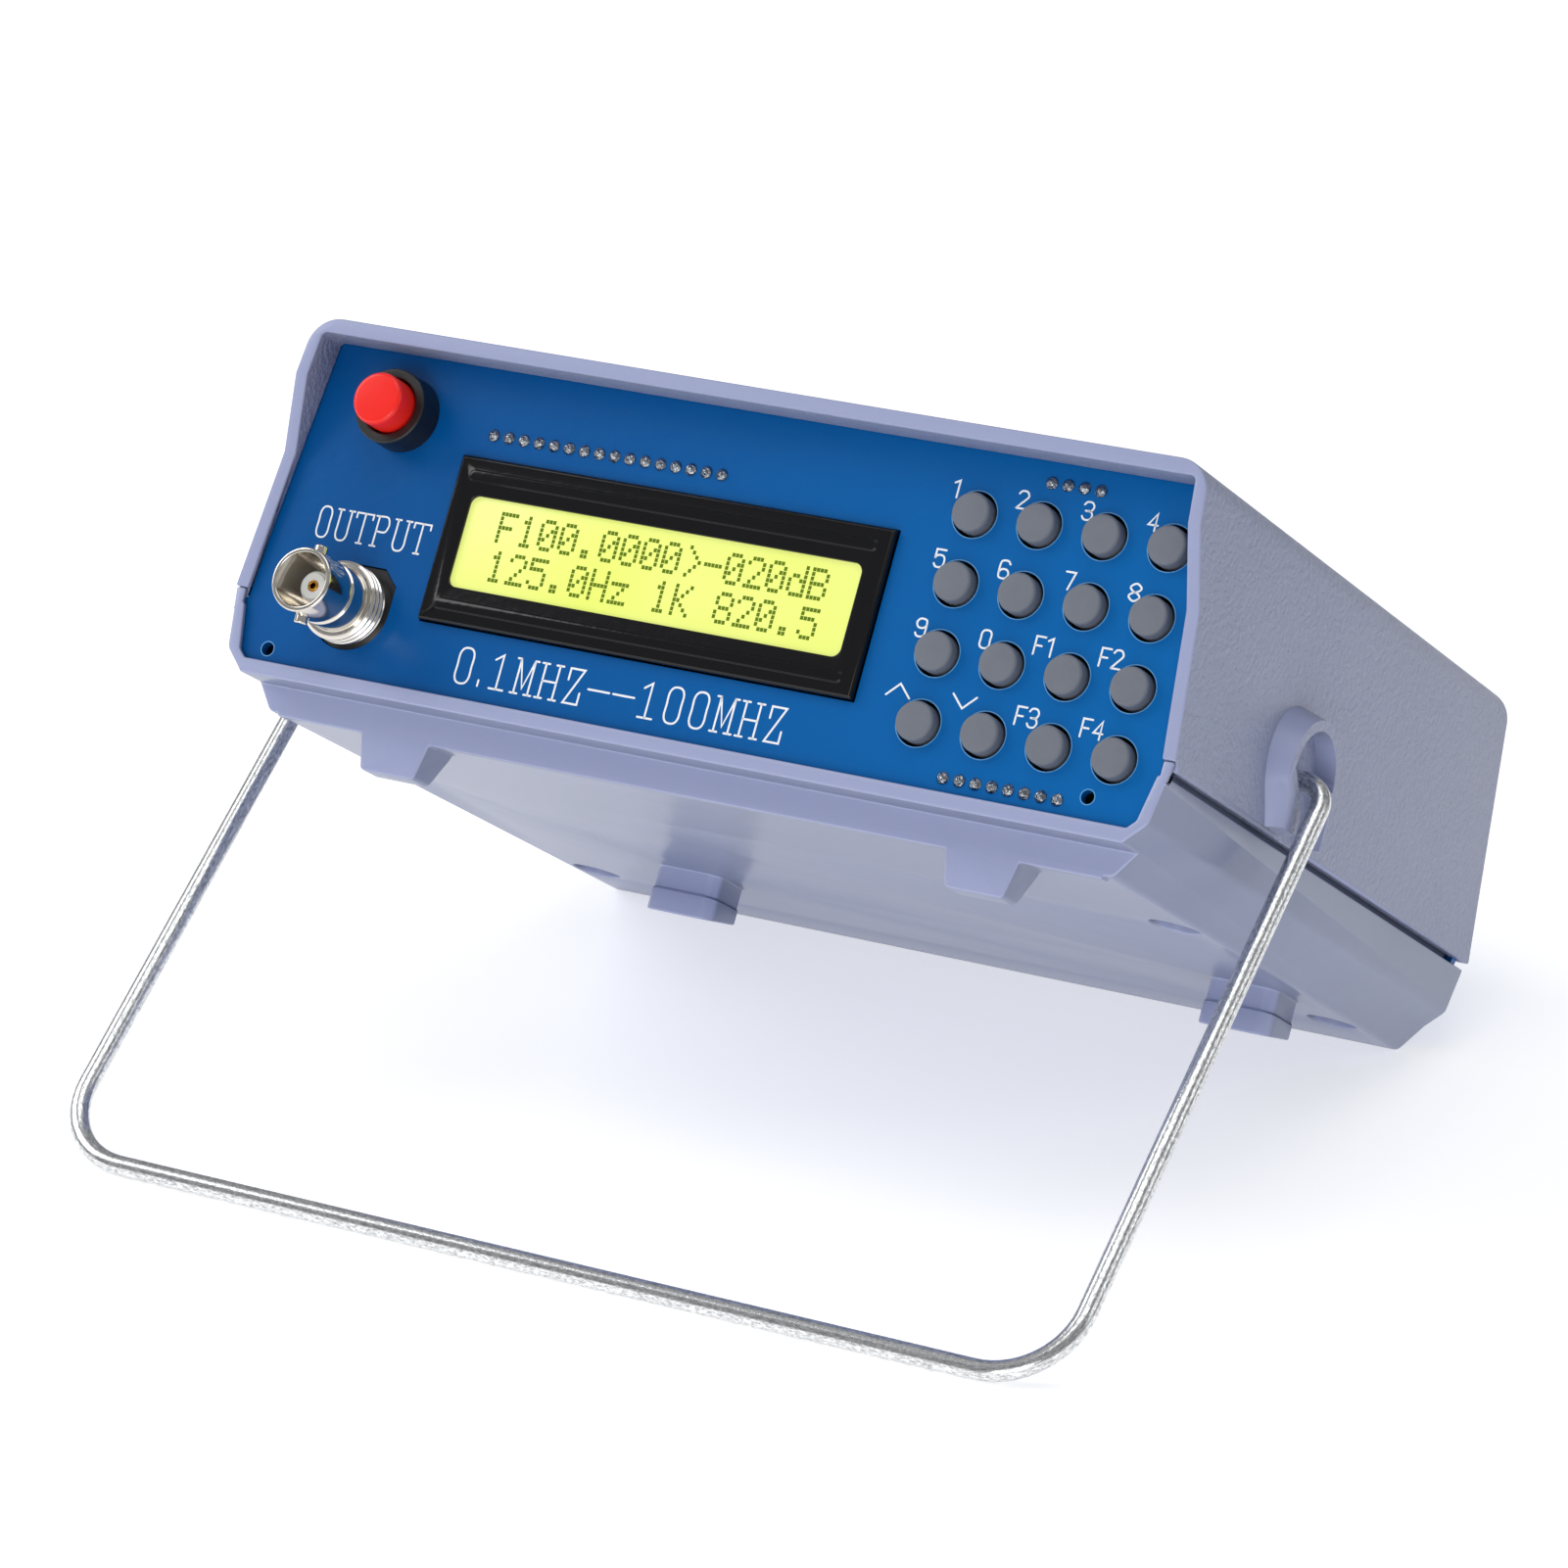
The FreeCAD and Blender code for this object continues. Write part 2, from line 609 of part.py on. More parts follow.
def key_cap(x, z):
    cap = rod_y(x, z, KEY_R, -KEY_OUT, KEY_BACK)
    cap = soften(cap, 0.55, lambda e: e.CenterOfMass.y < -KEY_OUT + 0.01)
    stem = rod_y(x, z, STEM_R, KEY_BACK - 0.5, STEM_BACK)
    return joined([cap, stem])


def key_switches():
    """Sixteen square switch bodies, each with a round well that the key's stem presses in."""
    bodies = []
    half = SWITCH_WIDE / 2
    for name, x, z in key_places():
        body = block(x - half, x + half, SWITCH_FRONT, KEY_BOARD_Y, z - half, z + half)
        bodies.append(body.cut(rod_y(x, z, STEM_R + 0.4, SWITCH_FRONT - 1, SWITCH_FRONT + 1.4)))
    return Part.makeCompound(bodies)


def keypad_board():
    board = block(31.5, 70.3, KEY_BOARD_Y, KEY_BOARD_Y + PANEL, 0.8, 47.6)
    holes = []
    for row in (UPPER_PINS, LOWER_PINS):
        holes += [rod_y(x, z, 0.45, 0, 20) for x, z in pin_places(row)]
    return board.cut(holes)


def power_cap():
    cap = rod_y(POWER_X, POWER_Z, CAP_R, -CAP_OUT, CAP_BACK)
    cap = soften(cap, 0.9, lambda e: e.CenterOfMass.y < -CAP_OUT + 0.01)
    return joined([cap, rod_y(POWER_X, POWER_Z, PLUNGER_R, CAP_BACK - 0.5, PLUNGER_BACK)])


def power_collar():
    """Moulded bezel with a threaded bush behind it, bored for the cap."""
    bezel = rod_y(POWER_X, POWER_Z, COLLAR_R, -COLLAR_OUT, 0)
    bezel = soften(bezel, 0.7, lambda e: e.CenterOfMass.y < -COLLAR_OUT + 0.01)
    bush = rod_y(POWER_X, POWER_Z, BUSH_R, -1, BUSH_BACK)
    bore = rod_y(POWER_X, POWER_Z, CAP_BORE_R, -COLLAR_OUT - 1, BUSH_BACK + 1)
    return joined([bezel, bush]).cut(bore)


def hex_ring(x, z, across, bore, front, back):
    corner = across / math.sqrt(3)
    points = []
    for i in range(6):
        turn = math.radians(60 * i)
        points.append((x + corner * math.cos(turn), z + corner * math.sin(turn)))
    return prism_y(points, [0] * 6, front, back).cut(rod_y(x, z, bore, front - 1, back + 1))


def power_switch():
    body = rod_y(POWER_X, POWER_Z, SWITCH_R, BUSH_BACK, SWITCH_BACK)
    well = rod_y(POWER_X, POWER_Z, PLUNGER_R + 0.3, BUSH_BACK - 1, PLUNGER_BACK + 4)
    tags = []
    for x in (POWER_X - 2.5, POWER_X + 2.1):
        tags.append(block(x, x + 0.4, SWITCH_BACK - 1, SWITCH_BACK + 4, POWER_Z - 1.2, POWER_Z + 1.2))
    return joined([body] + tags).cut(well)


# ---------------------------------------------------------------- output jack

def jack_barrel():
    """Plated barrel: open cup, a ring part way back, thread ridges and two bayonet lugs."""
    groove_r = JACK_R - GROOVE_DEEP
    points = [(CUP_R, JACK_FRONT), (JACK_R - 0.25, JACK_FRONT), (JACK_R, JACK_FRONT + 0.3)]
    points += [(JACK_R, GROOVE_FRONT), (groove_r, GROOVE_FRONT + GROOVE_DEEP)]
    points += [(groove_r, GROOVE_BACK - GROOVE_DEEP), (JACK_R, GROOVE_BACK)]
    points += [(JACK_R, THREAD_FRONT), (THREAD_R - THREAD_DEEP, THREAD_FRONT)]
    for i in range(3):
        ridge = THREAD_FRONT + 0.4 + THREAD_PITCH * i
        points += [(THREAD_R, ridge), (THREAD_R, ridge + 0.4), (THREAD_R - THREAD_DEEP, ridge + 0.75)]
    points += [(THREAD_R - 0.2, -0.5), (THREAD_R - 0.2, 0.35), (INSULATOR_R, 0.35)]
    points += [(INSULATOR_R, CUP_FLOOR), (CUP_R, CUP_FLOOR)]
    barrel = turned(points, JACK_X, JACK_Z)
    upper = rod_z(JACK_X, LUG_Y, LUG_R, JACK_Z + JACK_R - 0.4, JACK_Z + LUG_OUT)
    lower = rod_z(JACK_X, LUG_Y, LUG_R, JACK_Z - LUG_OUT, JACK_Z - JACK_R + 0.4)
    return joined([barrel, upper, lower])


def jack_housing():
    """Moulded block behind the panel, with a key that fills the panel's opening."""
    half = HOUSING_WIDE / 2
    body = block(JACK_X - half, JACK_X + half, PANEL + 0.1, HOUSING_BACK, JACK_Z - half, JACK_Z + half)
    key = jack_hole(0.4, PANEL + 0.5, 0.15)
    bore = rod_y(JACK_X, JACK_Z, CONTACT_R, 0, HOUSING_BACK + 1)
    return joined([body, key]).cut(bore)


def jack_insulator():
    sleeve = rod_y(JACK_X, JACK_Z, INSULATOR_R, INSULATOR_FRONT, 0.35)
    return sleeve.cut(rod_y(JACK_X, JACK_Z, CONTACT_R, INSULATOR_FRONT - 1, 1))


def jack_contact():
    pin = rod_y(JACK_X, JACK_Z, CONTACT_R, INSULATOR_FRONT - 0.15, HOUSING_BACK + 0.2)
    return pin.cut(rod_y(JACK_X, JACK_Z, 0.45, INSULATOR_FRONT - 1, INSULATOR_FRONT + 4))


# ---------------------------------------------------------------- inside

def main_board():
    board = block(-BOARD_HALF, BOARD_HALF, BOARD_FRONT, BOARD_BACK, BOARD_Z, BOARD_Z + BOARD)
    holes = []
    for x in (-BOARD_SCREW_X, BOARD_SCREW_X):
        for y in BOARD_SCREW_Y:
            holes.append(rod_z(x, y, 1.6, 0, 10))
    return board.cut(holes)


def board_screws():
    screws = []
    for x in (-BOARD_SCREW_X, BOARD_SCREW_X):
        for y in BOARD_SCREW_Y:
            head = rod_z(x, y, 2.6, BOARD_TOP, BOARD_TOP + 1.8)
            slot = block(x - 1.5, x + 1.5, y - 0.3, y + 0.3, BOARD_TOP + 1, BOARD_TOP + 2)
            shank = rod_z(x, y, 1.15, BOARD_TOP - 6, BOARD_TOP)
            screws.append(head.cut(slot).fuse(shank).removeSplitter())
    return Part.makeCompound(screws)


def shield_can():
    """Folded sheet cover over the radio circuits, with five rows of vent holes."""
    right = CAN_LEFT + CAN_SIDE
    back = CAN_FRONT + CAN_SIDE
    can = block(CAN_LEFT, right, CAN_FRONT, back, BOARD_TOP, BOARD_TOP + CAN_TALL)
    inside = block(
        CAN_LEFT + CAN_SHEET, right - CAN_SHEET,
        CAN_FRONT + CAN_SHEET, back - CAN_SHEET,
        BOARD_TOP - 1, BOARD_TOP + CAN_TALL - CAN_SHEET)
    vents = []
    for i in range(5):
        for j in range(5):
            x = CAN_LEFT + CAN_SIDE / 2 + VENT_PITCH * (i - 2)
            y = CAN_FRONT + CAN_SIDE / 2 + VENT_PITCH * (j - 2)
            vents.append(rod_z(x, y, 1.0, BOARD_TOP + 1, BOARD_TOP + CAN_TALL + 1))
    return can.cut([inside] + vents)


def chip(x, y, wide, deep):
    return block(x, x + wide, y, y + deep, BOARD_TOP, BOARD_TOP + CHIP_TALL)


def chips():
    """Flat packages on the main board: controller and amplifier, and two under the shield can."""
    controller = chip(10, 36, 12, 12)
    amplifier = chip(12, 70, 9, 6)
    under_can = [chip(-38, 48, 7, 7), chip(-22, 56, 6, 6)]
    return Part.makeCompound([controller, amplifier] + under_can)


def crystal():
    can = block(28, 39, 38, 42.6, BOARD_TOP, BOARD_TOP + 3.5)

    def upright(edge):
        ends = edge.Vertexes[0].Point - edge.Vertexes[-1].Point
        return abs(ends.z) > 1
    return soften(can, 2.1, upright)


def capacitor(x, y, radius, tall):
    """A round can with a rolled top edge."""
    can = rod_z(x, y, radius, BOARD_TOP, BOARD_TOP + tall)
    return soften(can, 0.6, lambda e: abs(e.CenterOfMass.z - BOARD_TOP - tall) < 0.01)


def capacitors():
    return Part.makeCompound([
        capacitor(36, 84, 5, 12),
        capacitor(22, 92, 4, 11),
        capacitor(6, 92, 3.2, 8)])


def regulator():
    """Three-legged voltage regulator standing on the board, with its metal tab."""
    left = REGULATOR_X - 5
    right = REGULATOR_X + 5
    body = block(left, right, REGULATOR_Y - 4.5, REGULATOR_Y, BOARD_TOP + 4, BOARD_TOP + 13)
    tab = block(left, right, REGULATOR_Y, REGULATOR_Y + 1.3, BOARD_TOP + 4, BOARD_TOP + 19)
    tab = tab.cut(rod_y(REGULATOR_X, BOARD_TOP + 16.2, 1.8, REGULATOR_Y - 1, REGULATOR_Y + 2))
    legs = []
    for i in (-1, 0, 1):
        x = REGULATOR_X + PIN_PITCH * i
        legs.append(block(x - 0.4, x + 0.4, REGULATOR_Y - 2.5, REGULATOR_Y - 2, BOARD_TOP, BOARD_TOP + 4.5))
    return joined([body, tab] + legs)


def heat_sink():
    """Finned plate behind the regulator's tab."""
    left = REGULATOR_X - 12
    front = REGULATOR_Y + 1.3
    low = BOARD_TOP + 2
    plate = block(left, left + 24, front, front + 2, low, low + SINK_TALL)
    fins = []
    for i in range(6):
        x = left + FIN_PITCH * i
        fins.append(block(x, x + 2, front + 1.8, front + 9.2, low, low + SINK_TALL))
    return joined([plate] + fins)


def ribbon_cable():
    """Flat cable from the keypad board back and down to the main board."""
    front = KEY_BOARD_Y + PANEL + 0.1
    back = 24.0
    level = 20.0
    low = BOARD_TOP + 0.1
    outer = [(front, level + 6), (front + RIBBON, level + 6), (front + RIBBON, level)]
    outer += [(back + RIBBON, level), (back + RIBBON, low), (back, low)]
    outer += [(back, level - RIBBON), (front, level - RIBBON)]
    return prism_x(outer, [0, 0, 0, 3.0, 0, 0, 2.1, 0], *RIBBON_X)


def coax_lead():
    """Thin coaxial lead from the shield can to the back of the output jack."""
    start = V(JACK_X, HOUSING_BACK + 0.2, JACK_Z)
    end = V(CAN_LEFT, 52, JACK_Z)
    radius = 8.0
    bow = radius * (1 - math.sqrt(0.5))
    low = V(JACK_X, end.y - radius, JACK_Z)
    high = V(JACK_X + radius, end.y, JACK_Z)
    middle = V(JACK_X + bow, end.y - bow, JACK_Z)
    path = [Part.LineSegment(start, low), Part.Arc(low, middle, high), Part.LineSegment(high, end)]
    spine = Part.Wire([piece.toShape() for piece in path])
    ring = Part.Wire(Part.makeCircle(COAX_R, start, V(0, 1, 0)))
    return spine.makePipeShell([ring], True, False)


def inlet_body():
    """Round supply socket in the rear panel: flange outside, threaded barrel through it."""
    outside = REAR_PANEL_Y + PANEL
    flange = rod_y(INLET_X, INLET_Z, INLET_R + 1.5, outside, outside + 1.4)
    barrel = rod_y(INLET_X, INLET_Z, INLET_R, REAR_PANEL_Y - 10, outside + 0.5)
    well = rod_y(INLET_X, INLET_Z, INLET_BORE_R, outside - 8, outside + 2)
    return joined([flange, barrel]).cut([well, rod_y(INLET_X, INLET_Z, INLET_PIN_R, 100, 130)])


def inlet_pin():
    return rod_y(INLET_X, INLET_Z, INLET_PIN_R, REAR_PANEL_Y - 12, REAR_PANEL_Y + PANEL - 0.6)


# ---------------------------------------------------------------- standing and writing out

def standing():
    """Turn and shift that stand the object on the bail and the case's lower back edge."""
    bar_y = PIVOT_Y - BAIL_REACH * math.sin(STAND_ANGLE)
    bar_z = PIVOT_Z - BAIL_REACH * math.cos(STAND_ANGLE)
    run = CASE_BACK - bar_y
    rise = KEEL[1] - bar_z
    tilt = math.atan2(rise, run) + math.asin(WIRE_R / math.hypot(run, rise))
    floor = KEEL[1] * math.cos(tilt) - CASE_BACK * math.sin(tilt)
    front = bar_y * math.cos(tilt) + bar_z * math.sin(tilt) - WIRE_R
    back = CASE_BACK * math.cos(tilt) + ROOF * math.sin(tilt)
    turn = FreeCAD.Rotation(V(1, 0, 0), -math.degrees(tilt))
    return FreeCAD.Placement(V(0, -(front + back) / 2, -floor), turn)


def all_parts():
    parts = {
        "top_shell": top_shell(),
        "bottom_shell": bottom_shell(),
        "case_screws": case_screws(),
        "bail": bail(),
        "front_panel": front_panel(),
        "rear_panel": rear_panel(),
        "lcd_frame": lcd_frame(),
        "lcd_glass": lcd_glass(),
        "lcd_backlight": lcd_backlight(),
        "lcd_board": lcd_board(),
        "lcd_header": header(LCD_PINS, LCD_BOARD_Y),
        "keypad_header_upper": header(UPPER_PINS, KEY_BOARD_Y),
        "keypad_header_lower": header(LOWER_PINS, KEY_BOARD_Y),
        "keypad_board": keypad_board(),
        "key_switches": key_switches(),
        "power_cap": power_cap(),
        "power_collar": power_collar(),
        "power_nut": hex_ring(POWER_X, POWER_Z, 14.0, BUSH_R, PANEL, PANEL + 2.2),
        "power_switch": power_switch(),
        "jack_barrel": jack_barrel(),
        "jack_housing": jack_housing(),
        "jack_insulator": jack_insulator(),
        "jack_contact": jack_contact(),
        "main_board": main_board(),
        "board_screws": board_screws(),
        "shield_can": shield_can(),
        "chips": chips(),
        "crystal": crystal(),
        "capacitors": capacitors(),
        "regulator": regulator(),
        "heat_sink": heat_sink(),
        "ribbon_cable": ribbon_cable(),
        "coax_lead": coax_lead(),
        "inlet_body": inlet_body(),
        "inlet_pin": inlet_pin(),
        "inlet_nut": hex_ring(INLET_X, INLET_Z, 14.0, INLET_R, REAR_PANEL_Y - 2.4, REAR_PANEL_Y),
    }
    for name, x, z in key_places():
        parts["key_" + name] = key_cap(x, z)
    return parts


os.makedirs("parts", exist_ok=True)
stand = standing()
for name, shape in all_parts().items():
    shape.Placement = stand.multiply(shape.Placement)
    shape.exportStep("parts/" + name + ".step")
    box = shape.BoundBox
    print(name, len(shape.Solids), shape.isValid(), round(shape.Volume), [round(v, 1) for v in (
        box.XMin, box.XMax, box.YMin, box.YMax, box.ZMin, box.ZMax)])
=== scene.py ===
import json
import math

import bmesh
import bpy
from mathutils import Matrix, Quaternion, Vector


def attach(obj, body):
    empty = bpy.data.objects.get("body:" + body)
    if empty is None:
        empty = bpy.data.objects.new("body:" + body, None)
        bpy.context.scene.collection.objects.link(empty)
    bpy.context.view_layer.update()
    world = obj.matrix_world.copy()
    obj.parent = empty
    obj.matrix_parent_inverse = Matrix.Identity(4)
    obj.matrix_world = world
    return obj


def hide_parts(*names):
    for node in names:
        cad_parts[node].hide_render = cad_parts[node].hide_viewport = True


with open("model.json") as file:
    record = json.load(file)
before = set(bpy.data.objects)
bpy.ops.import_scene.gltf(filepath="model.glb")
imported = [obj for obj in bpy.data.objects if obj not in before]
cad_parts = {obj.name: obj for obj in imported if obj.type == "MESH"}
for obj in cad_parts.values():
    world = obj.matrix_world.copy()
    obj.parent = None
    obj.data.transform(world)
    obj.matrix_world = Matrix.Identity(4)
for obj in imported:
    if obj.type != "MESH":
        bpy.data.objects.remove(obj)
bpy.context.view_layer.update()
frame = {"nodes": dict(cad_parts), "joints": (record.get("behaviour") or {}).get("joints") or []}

# ------------------------------------------------------------ bottom half of the case
# A shallow tray of injection-moulded ABS with four feet, screw wells and a wedge-shaped keel.
# Its tool was only polished, so it comes out smoother and shinier than the top half.

# The instrument stands on its bail and leans back, so nothing on it is square to the floor.
# Pieces are drawn in the case's own millimetres (x right, y back from the panel, z up it) and
# one matrix leans them.
joints = {j["name"]: j for j in frame["joints"]}
PIVOT = Vector((0, 40, 18))
back = Vector(joints["power_press"]["axis"]).normalized()
right = Vector((1, 0, 0))
up = right.cross(back)
lean = Matrix((right, back, up)).transposed().to_4x4()
at_pivot = Matrix.Translation(Vector(joints["bail_pivot"]["pos_m"]))
CASE = at_pivot @ lean @ Matrix.Scale(0.001, 4) @ Matrix.Translation(-PIVOT)
TO_CASE = CASE.inverted()


def to_piece(name, bm, body, slot, material, *nodes, smooth=35):
    """A piece from a mesh in case millimetres, shaded smooth up to an angle, riding on a body."""
    bmesh.ops.remove_doubles(bm, verts=bm.verts, dist=0.0005)
    bmesh.ops.recalc_face_normals(bm, faces=bm.faces)
    mesh = bpy.data.meshes.new(name)
    bm.to_mesh(mesh)
    bm.free()
    mesh.transform(CASE)
    mesh.materials.append(material)
    mesh.shade_smooth()
    mesh.set_sharp_from_angle(angle=math.radians(smooth))
    piece = bpy.data.objects.new(name, mesh)
    bpy.context.scene.collection.objects.link(piece)
    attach(piece, body)
    if nodes:
        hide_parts(*nodes)


def fine_copy(name, node_name, edge, slot, material, turn=28, leave=lambda place: False):
    """A CAD node's mesh with its flat faces made whole and its sharp edges rounded off.

    Edges that turn by less than turn degrees, and those in a place to leave, stay as they are.
    """
    bm = bmesh.new()
    bm.from_mesh(frame["nodes"][node_name].data)
    bmesh.ops.transform(bm, matrix=TO_CASE, verts=bm.verts)
    bmesh.ops.remove_doubles(bm, verts=bm.verts, dist=0.005)
    bmesh.ops.dissolve_limit(
        bm, angle_limit=math.radians(0.6), verts=bm.verts, edges=bm.edges)
    sharp = [e for e in bm.edges
             if e.is_manifold and e.calc_face_angle(0) > math.radians(turn)
             and not leave((e.verts[0].co + e.verts[1].co) / 2)]
    bmesh.ops.bevel(
        bm, geom=sharp, offset=edge, offset_type="OFFSET", segments=3,
        profile=0.5, affect="EDGES", clamp_overlap=False)
    to_piece(name, bm, "case", slot, material, node_name)


def linear(code):
    """An sRGB hex colour as linear red, green, blue and alpha."""
    parts = [int(code[i:i + 2], 16) / 255 for i in (1, 3, 5)]
    return [p / 12.92 if p <= 0.04045 else ((p + 0.055) / 1.055) ** 2.4 for p in parts] + [1]


def node(tree, kind, sockets, **settings):
    """Adds a shader node; sockets gives values or links for its inputs, by name or number."""
    made = tree.nodes.new("ShaderNode" + kind)
    for name, value in settings.items():
        setattr(made, name, value)
    for name, value in sockets.items():
        if isinstance(value, bpy.types.NodeSocket):
            tree.links.new(value, made.inputs[name])
        else:
            made.inputs[name].default_value = value
    return made


def finish(name, code, sockets):
    """A new material with one Principled shader; returns the material, its tree and shader."""
    material = bpy.data.materials.new(name)
    material.use_nodes = True
    tree = material.node_tree
    shader = tree.nodes["Principled BSDF"]
    shader.inputs["Base Color"].default_value = linear(code)
    for socket, value in sockets.items():
        shader.inputs[socket].default_value = value
    return material, tree, shader


def grain(tree, shader, size, depth, detail=2.0):
    """A bump of grains, size millimetres across.

    Noise seldom reaches its ends, so they come out about a third of depth millimetres deep.
    """
    coords = node(tree, "TexCoord", {})
    dust = node(tree, "TexNoise", {
        "Vector": coords.outputs["Object"], "Scale": 1000 / size, "Detail": detail})
    bump = node(tree, "Bump", {"Height": dust.outputs["Fac"], "Distance": depth / 1000})
    tree.links.new(bump.outputs["Normal"], shader.inputs["Normal"])
    return coords


def mottle(tree, shader, coords, size, first, second, detail=3.0):
    """Soft patches of two near colours, size millimetres across."""
    patch = node(tree, "TexNoise", {
        "Vector": coords.outputs["Object"], "Scale": 1000 / size, "Detail": detail})
    mix = node(tree, "Mix", {
        0: patch.outputs["Fac"], 6: linear(first), 7: linear(second)}, data_type="RGBA")
    tree.links.new(mix.outputs[2], shader.inputs["Base Color"])
    return mix


def looking_forward(tree, coords):
    """1 on faces that look out of the front of the case, falling to 0 on its sides."""
    facing = node(tree, "VectorMath", {
        0: coords.outputs["Normal"], 1: tuple(-back)}, operation="DOT_PRODUCT")
    ramp = node(tree, "MapRange", {
        "Value": facing.outputs["Value"], "From Min": 0.15, "From Max": 0.55})
    return ramp.outputs["Result"]


def paint_front_light(tree, shader, coords, mix, code):
    """Paints faces that look out of the front of the case paler: painted light, as if lit from the
    front.
    """
    forward = looking_forward(tree, coords)
    front = node(tree, "Mix", {0: forward, 6: mix.outputs[2], 7: linear(code)}, data_type="RGBA")
    tree.links.new(front.outputs[2], shader.inputs["Base Color"])
    return forward


# moulded ABS, satin: a soft broad sheen with the faintest waviness from cooling. The waves
# are 14 mm long, and drawn deeper than they are so that the sheen shows them.
abs_satin, tree, shader = finish("abs_moulded_satin", "#7f87a1", {
    "Roughness": 0.3, "IOR": 1.53, "Subsurface Weight": 0.05, "Subsurface Scale": 0.002})
coords = grain(tree, shader, 14.0, 0.25)
mix = mottle(tree, shader, coords, 40.0, "#757d98", "#7e86a1")
# painted light: faces that look out of the front of the case are painted paler, as if lit from the
# front
paint_front_light(tree, shader, coords, mix, "#9ea6c9")

fine_copy("bottom_case", "bottom_shell", 0.3, "case_bottom_plastic", abs_satin)

# ------------------------------------------------------------ screws
# Four pan-head steel screws come up through the wells of the bottom half, and four short ones
# hold the main board to its posts. They are bright zinc plate, and scuffed where driven.

# zinc plate on steel: grey, fairly bright, cloudy rather than mirror-like, in 0.4 mm crystals
zinc_plate, tree, shader = finish("zinc_plated_steel", "#b9bcbc", {
    "Metallic": 1.0, "Roughness": 0.32})
coords = grain(tree, shader, 0.4, 0.01)
mottle(tree, shader, coords, 1.5, "#a9acad", "#c9cbca")


def repaint(material, *names):
    """Gives CAD nodes whose shape is already right a real finish."""
    for name in names:
        for slot in frame["nodes"][name].material_slots:
            slot.material = material


repaint(zinc_plate, "case_screws", "board_screws")

# ------------------------------------------------------------ main board and what it carries
# A glass-fibre board on four posts, with a tinned shield can, flat chips, a crystal, capacitors
# and a regulator on a finned heat sink. Ribbon and coaxial leads run to the panel.

# solder mask over glass fibre: green, glossy, with the 0.9 mm weave just printing through
green_mask, tree, shader = finish("green_solder_mask", "#0f5a35", {
    "Roughness": 0.3, "IOR": 1.5, "Coat Weight": 0.4, "Coat Roughness": 0.12})
coords = grain(tree, shader, 0.9, 0.01)
mottle(tree, shader, coords, 6.0, "#0d5230", "#13643c")
repaint(green_mask, "main_board", "lcd_board", "keypad_board")

# tin plate: pale soft metal, with 3 mm ripples where it was folded
tin_plate, tree, shader = finish("tin_plate", "#c6c7c3", {"Metallic": 1.0, "Roughness": 0.28})
coords = grain(tree, shader, 3.0, 0.03)
mottle(tree, shader, coords, 5.0, "#bcbdb9", "#d0d1cd")
repaint(tin_plate, "shield_can", "crystal")

# moulded epoxy: dull black with the 0.15 mm pits of a spark-cut mould
black_epoxy, tree, shader = finish("black_moulded_epoxy", "#1b1b1e", {"Roughness": 0.55})
coords = grain(tree, shader, 0.15, 0.01)
mottle(tree, shader, coords, 2.0, "#17171a", "#222226")
repaint(black_epoxy, "chips", "regulator", "key_switches", "power_switch")

# shrunk PVC sleeve: dark blue-black, waxy, with 2 mm puckers
pvc_sleeve, tree, shader = finish("shrunk_pvc_sleeve", "#14182c", {"Roughness": 0.3, "IOR": 1.53})
coords = grain(tree, shader, 2.0, 0.02)
mottle(tree, shader, coords, 3.0, "#111528", "#191e35")
repaint(pvc_sleeve, "capacitors", "coax_lead")

# black anodised aluminium: matt with a metallic glint from its 0.2 mm etch
anodised, tree, shader = finish("black_anodised_aluminium", "#26272a", {
    "Metallic": 0.7, "Roughness": 0.45})
coords = grain(tree, shader, 0.2, 0.01)
mottle(tree, shader, coords, 4.0, "#222326", "#2d2e32")
repaint(anodised, "heat_sink")

# ribbon cable: grey PVC with a ridge for each of its ten cores, 1.27 mm apart
ribbon_pvc, tree, shader = finish("ribbed_grey_pvc", "#8b8d91", {"Roughness": 0.42, "IOR": 1.53})
CORE_PITCH = 1.27
RIDGE_DEEP = 0.3
coords = node(tree, "TexCoord", {})
mottle(tree, shader, coords, 6.0, "#85878b", "#929498")
# one ridge of the wave pattern is pi / 10 long at a scale of 1
ridges = node(tree, "TexWave", {
    "Vector": coords.outputs["Object"], "Scale": 1000 * math.pi / (CORE_PITCH * 10)},
    bands_direction="X")
bump = node(tree, "Bump", {
    "Height": ridges.outputs["Fac"], "Distance": RIDGE_DEEP / 1000})
tree.links.new(bump.outputs["Normal"], shader.inputs["Normal"])
repaint(ribbon_pvc, "ribbon_cable")

# ------------------------------------------------------------ front panel
# A 1.6 mm circuit board used as the fascia: solder mask over copper, drilled for keys, button
# and jack. It slides down in a groove of the case and stays there when the halves close.

# blue solder mask: deep even blue under a clear glossy skin, with the copper below felt as
# swellings 2.2 mm across
blue_mask, tree, shader = finish("blue_solder_mask", "#00529a", {
    "Roughness": 0.28, "IOR": 1.5, "Specular IOR Level": 0.2})
coords = grain(tree, shader, 2.2, 0.05, detail=4.0)
mix = mottle(tree, shader, coords, 26.0, "#004f92", "#00589e")
# painted light: the blue is painted brighter across the panel towards the keys, on the right,
# where more light falls
LIGHT_RAMP_FROM = -40.0
LIGHT_RAMP_TO = 75.0
across = node(tree, "SeparateXYZ", {0: coords.outputs["Object"]})
painted_light_ramp = node(tree, "MapRange", {
    "Value": across.outputs["X"], "From Min": LIGHT_RAMP_FROM / 1000,
    "From Max": LIGHT_RAMP_TO / 1000, "To Max": 0.85})
painted_light_blue = node(tree, "Mix", {
    0: painted_light_ramp.outputs["Result"], 6: mix.outputs[2], 7: linear("#0068b2")}, data_type="RGBA")
tree.links.new(painted_light_blue.outputs[2], shader.inputs["Base Color"])
repaint(blue_mask, "front_panel", "rear_panel")
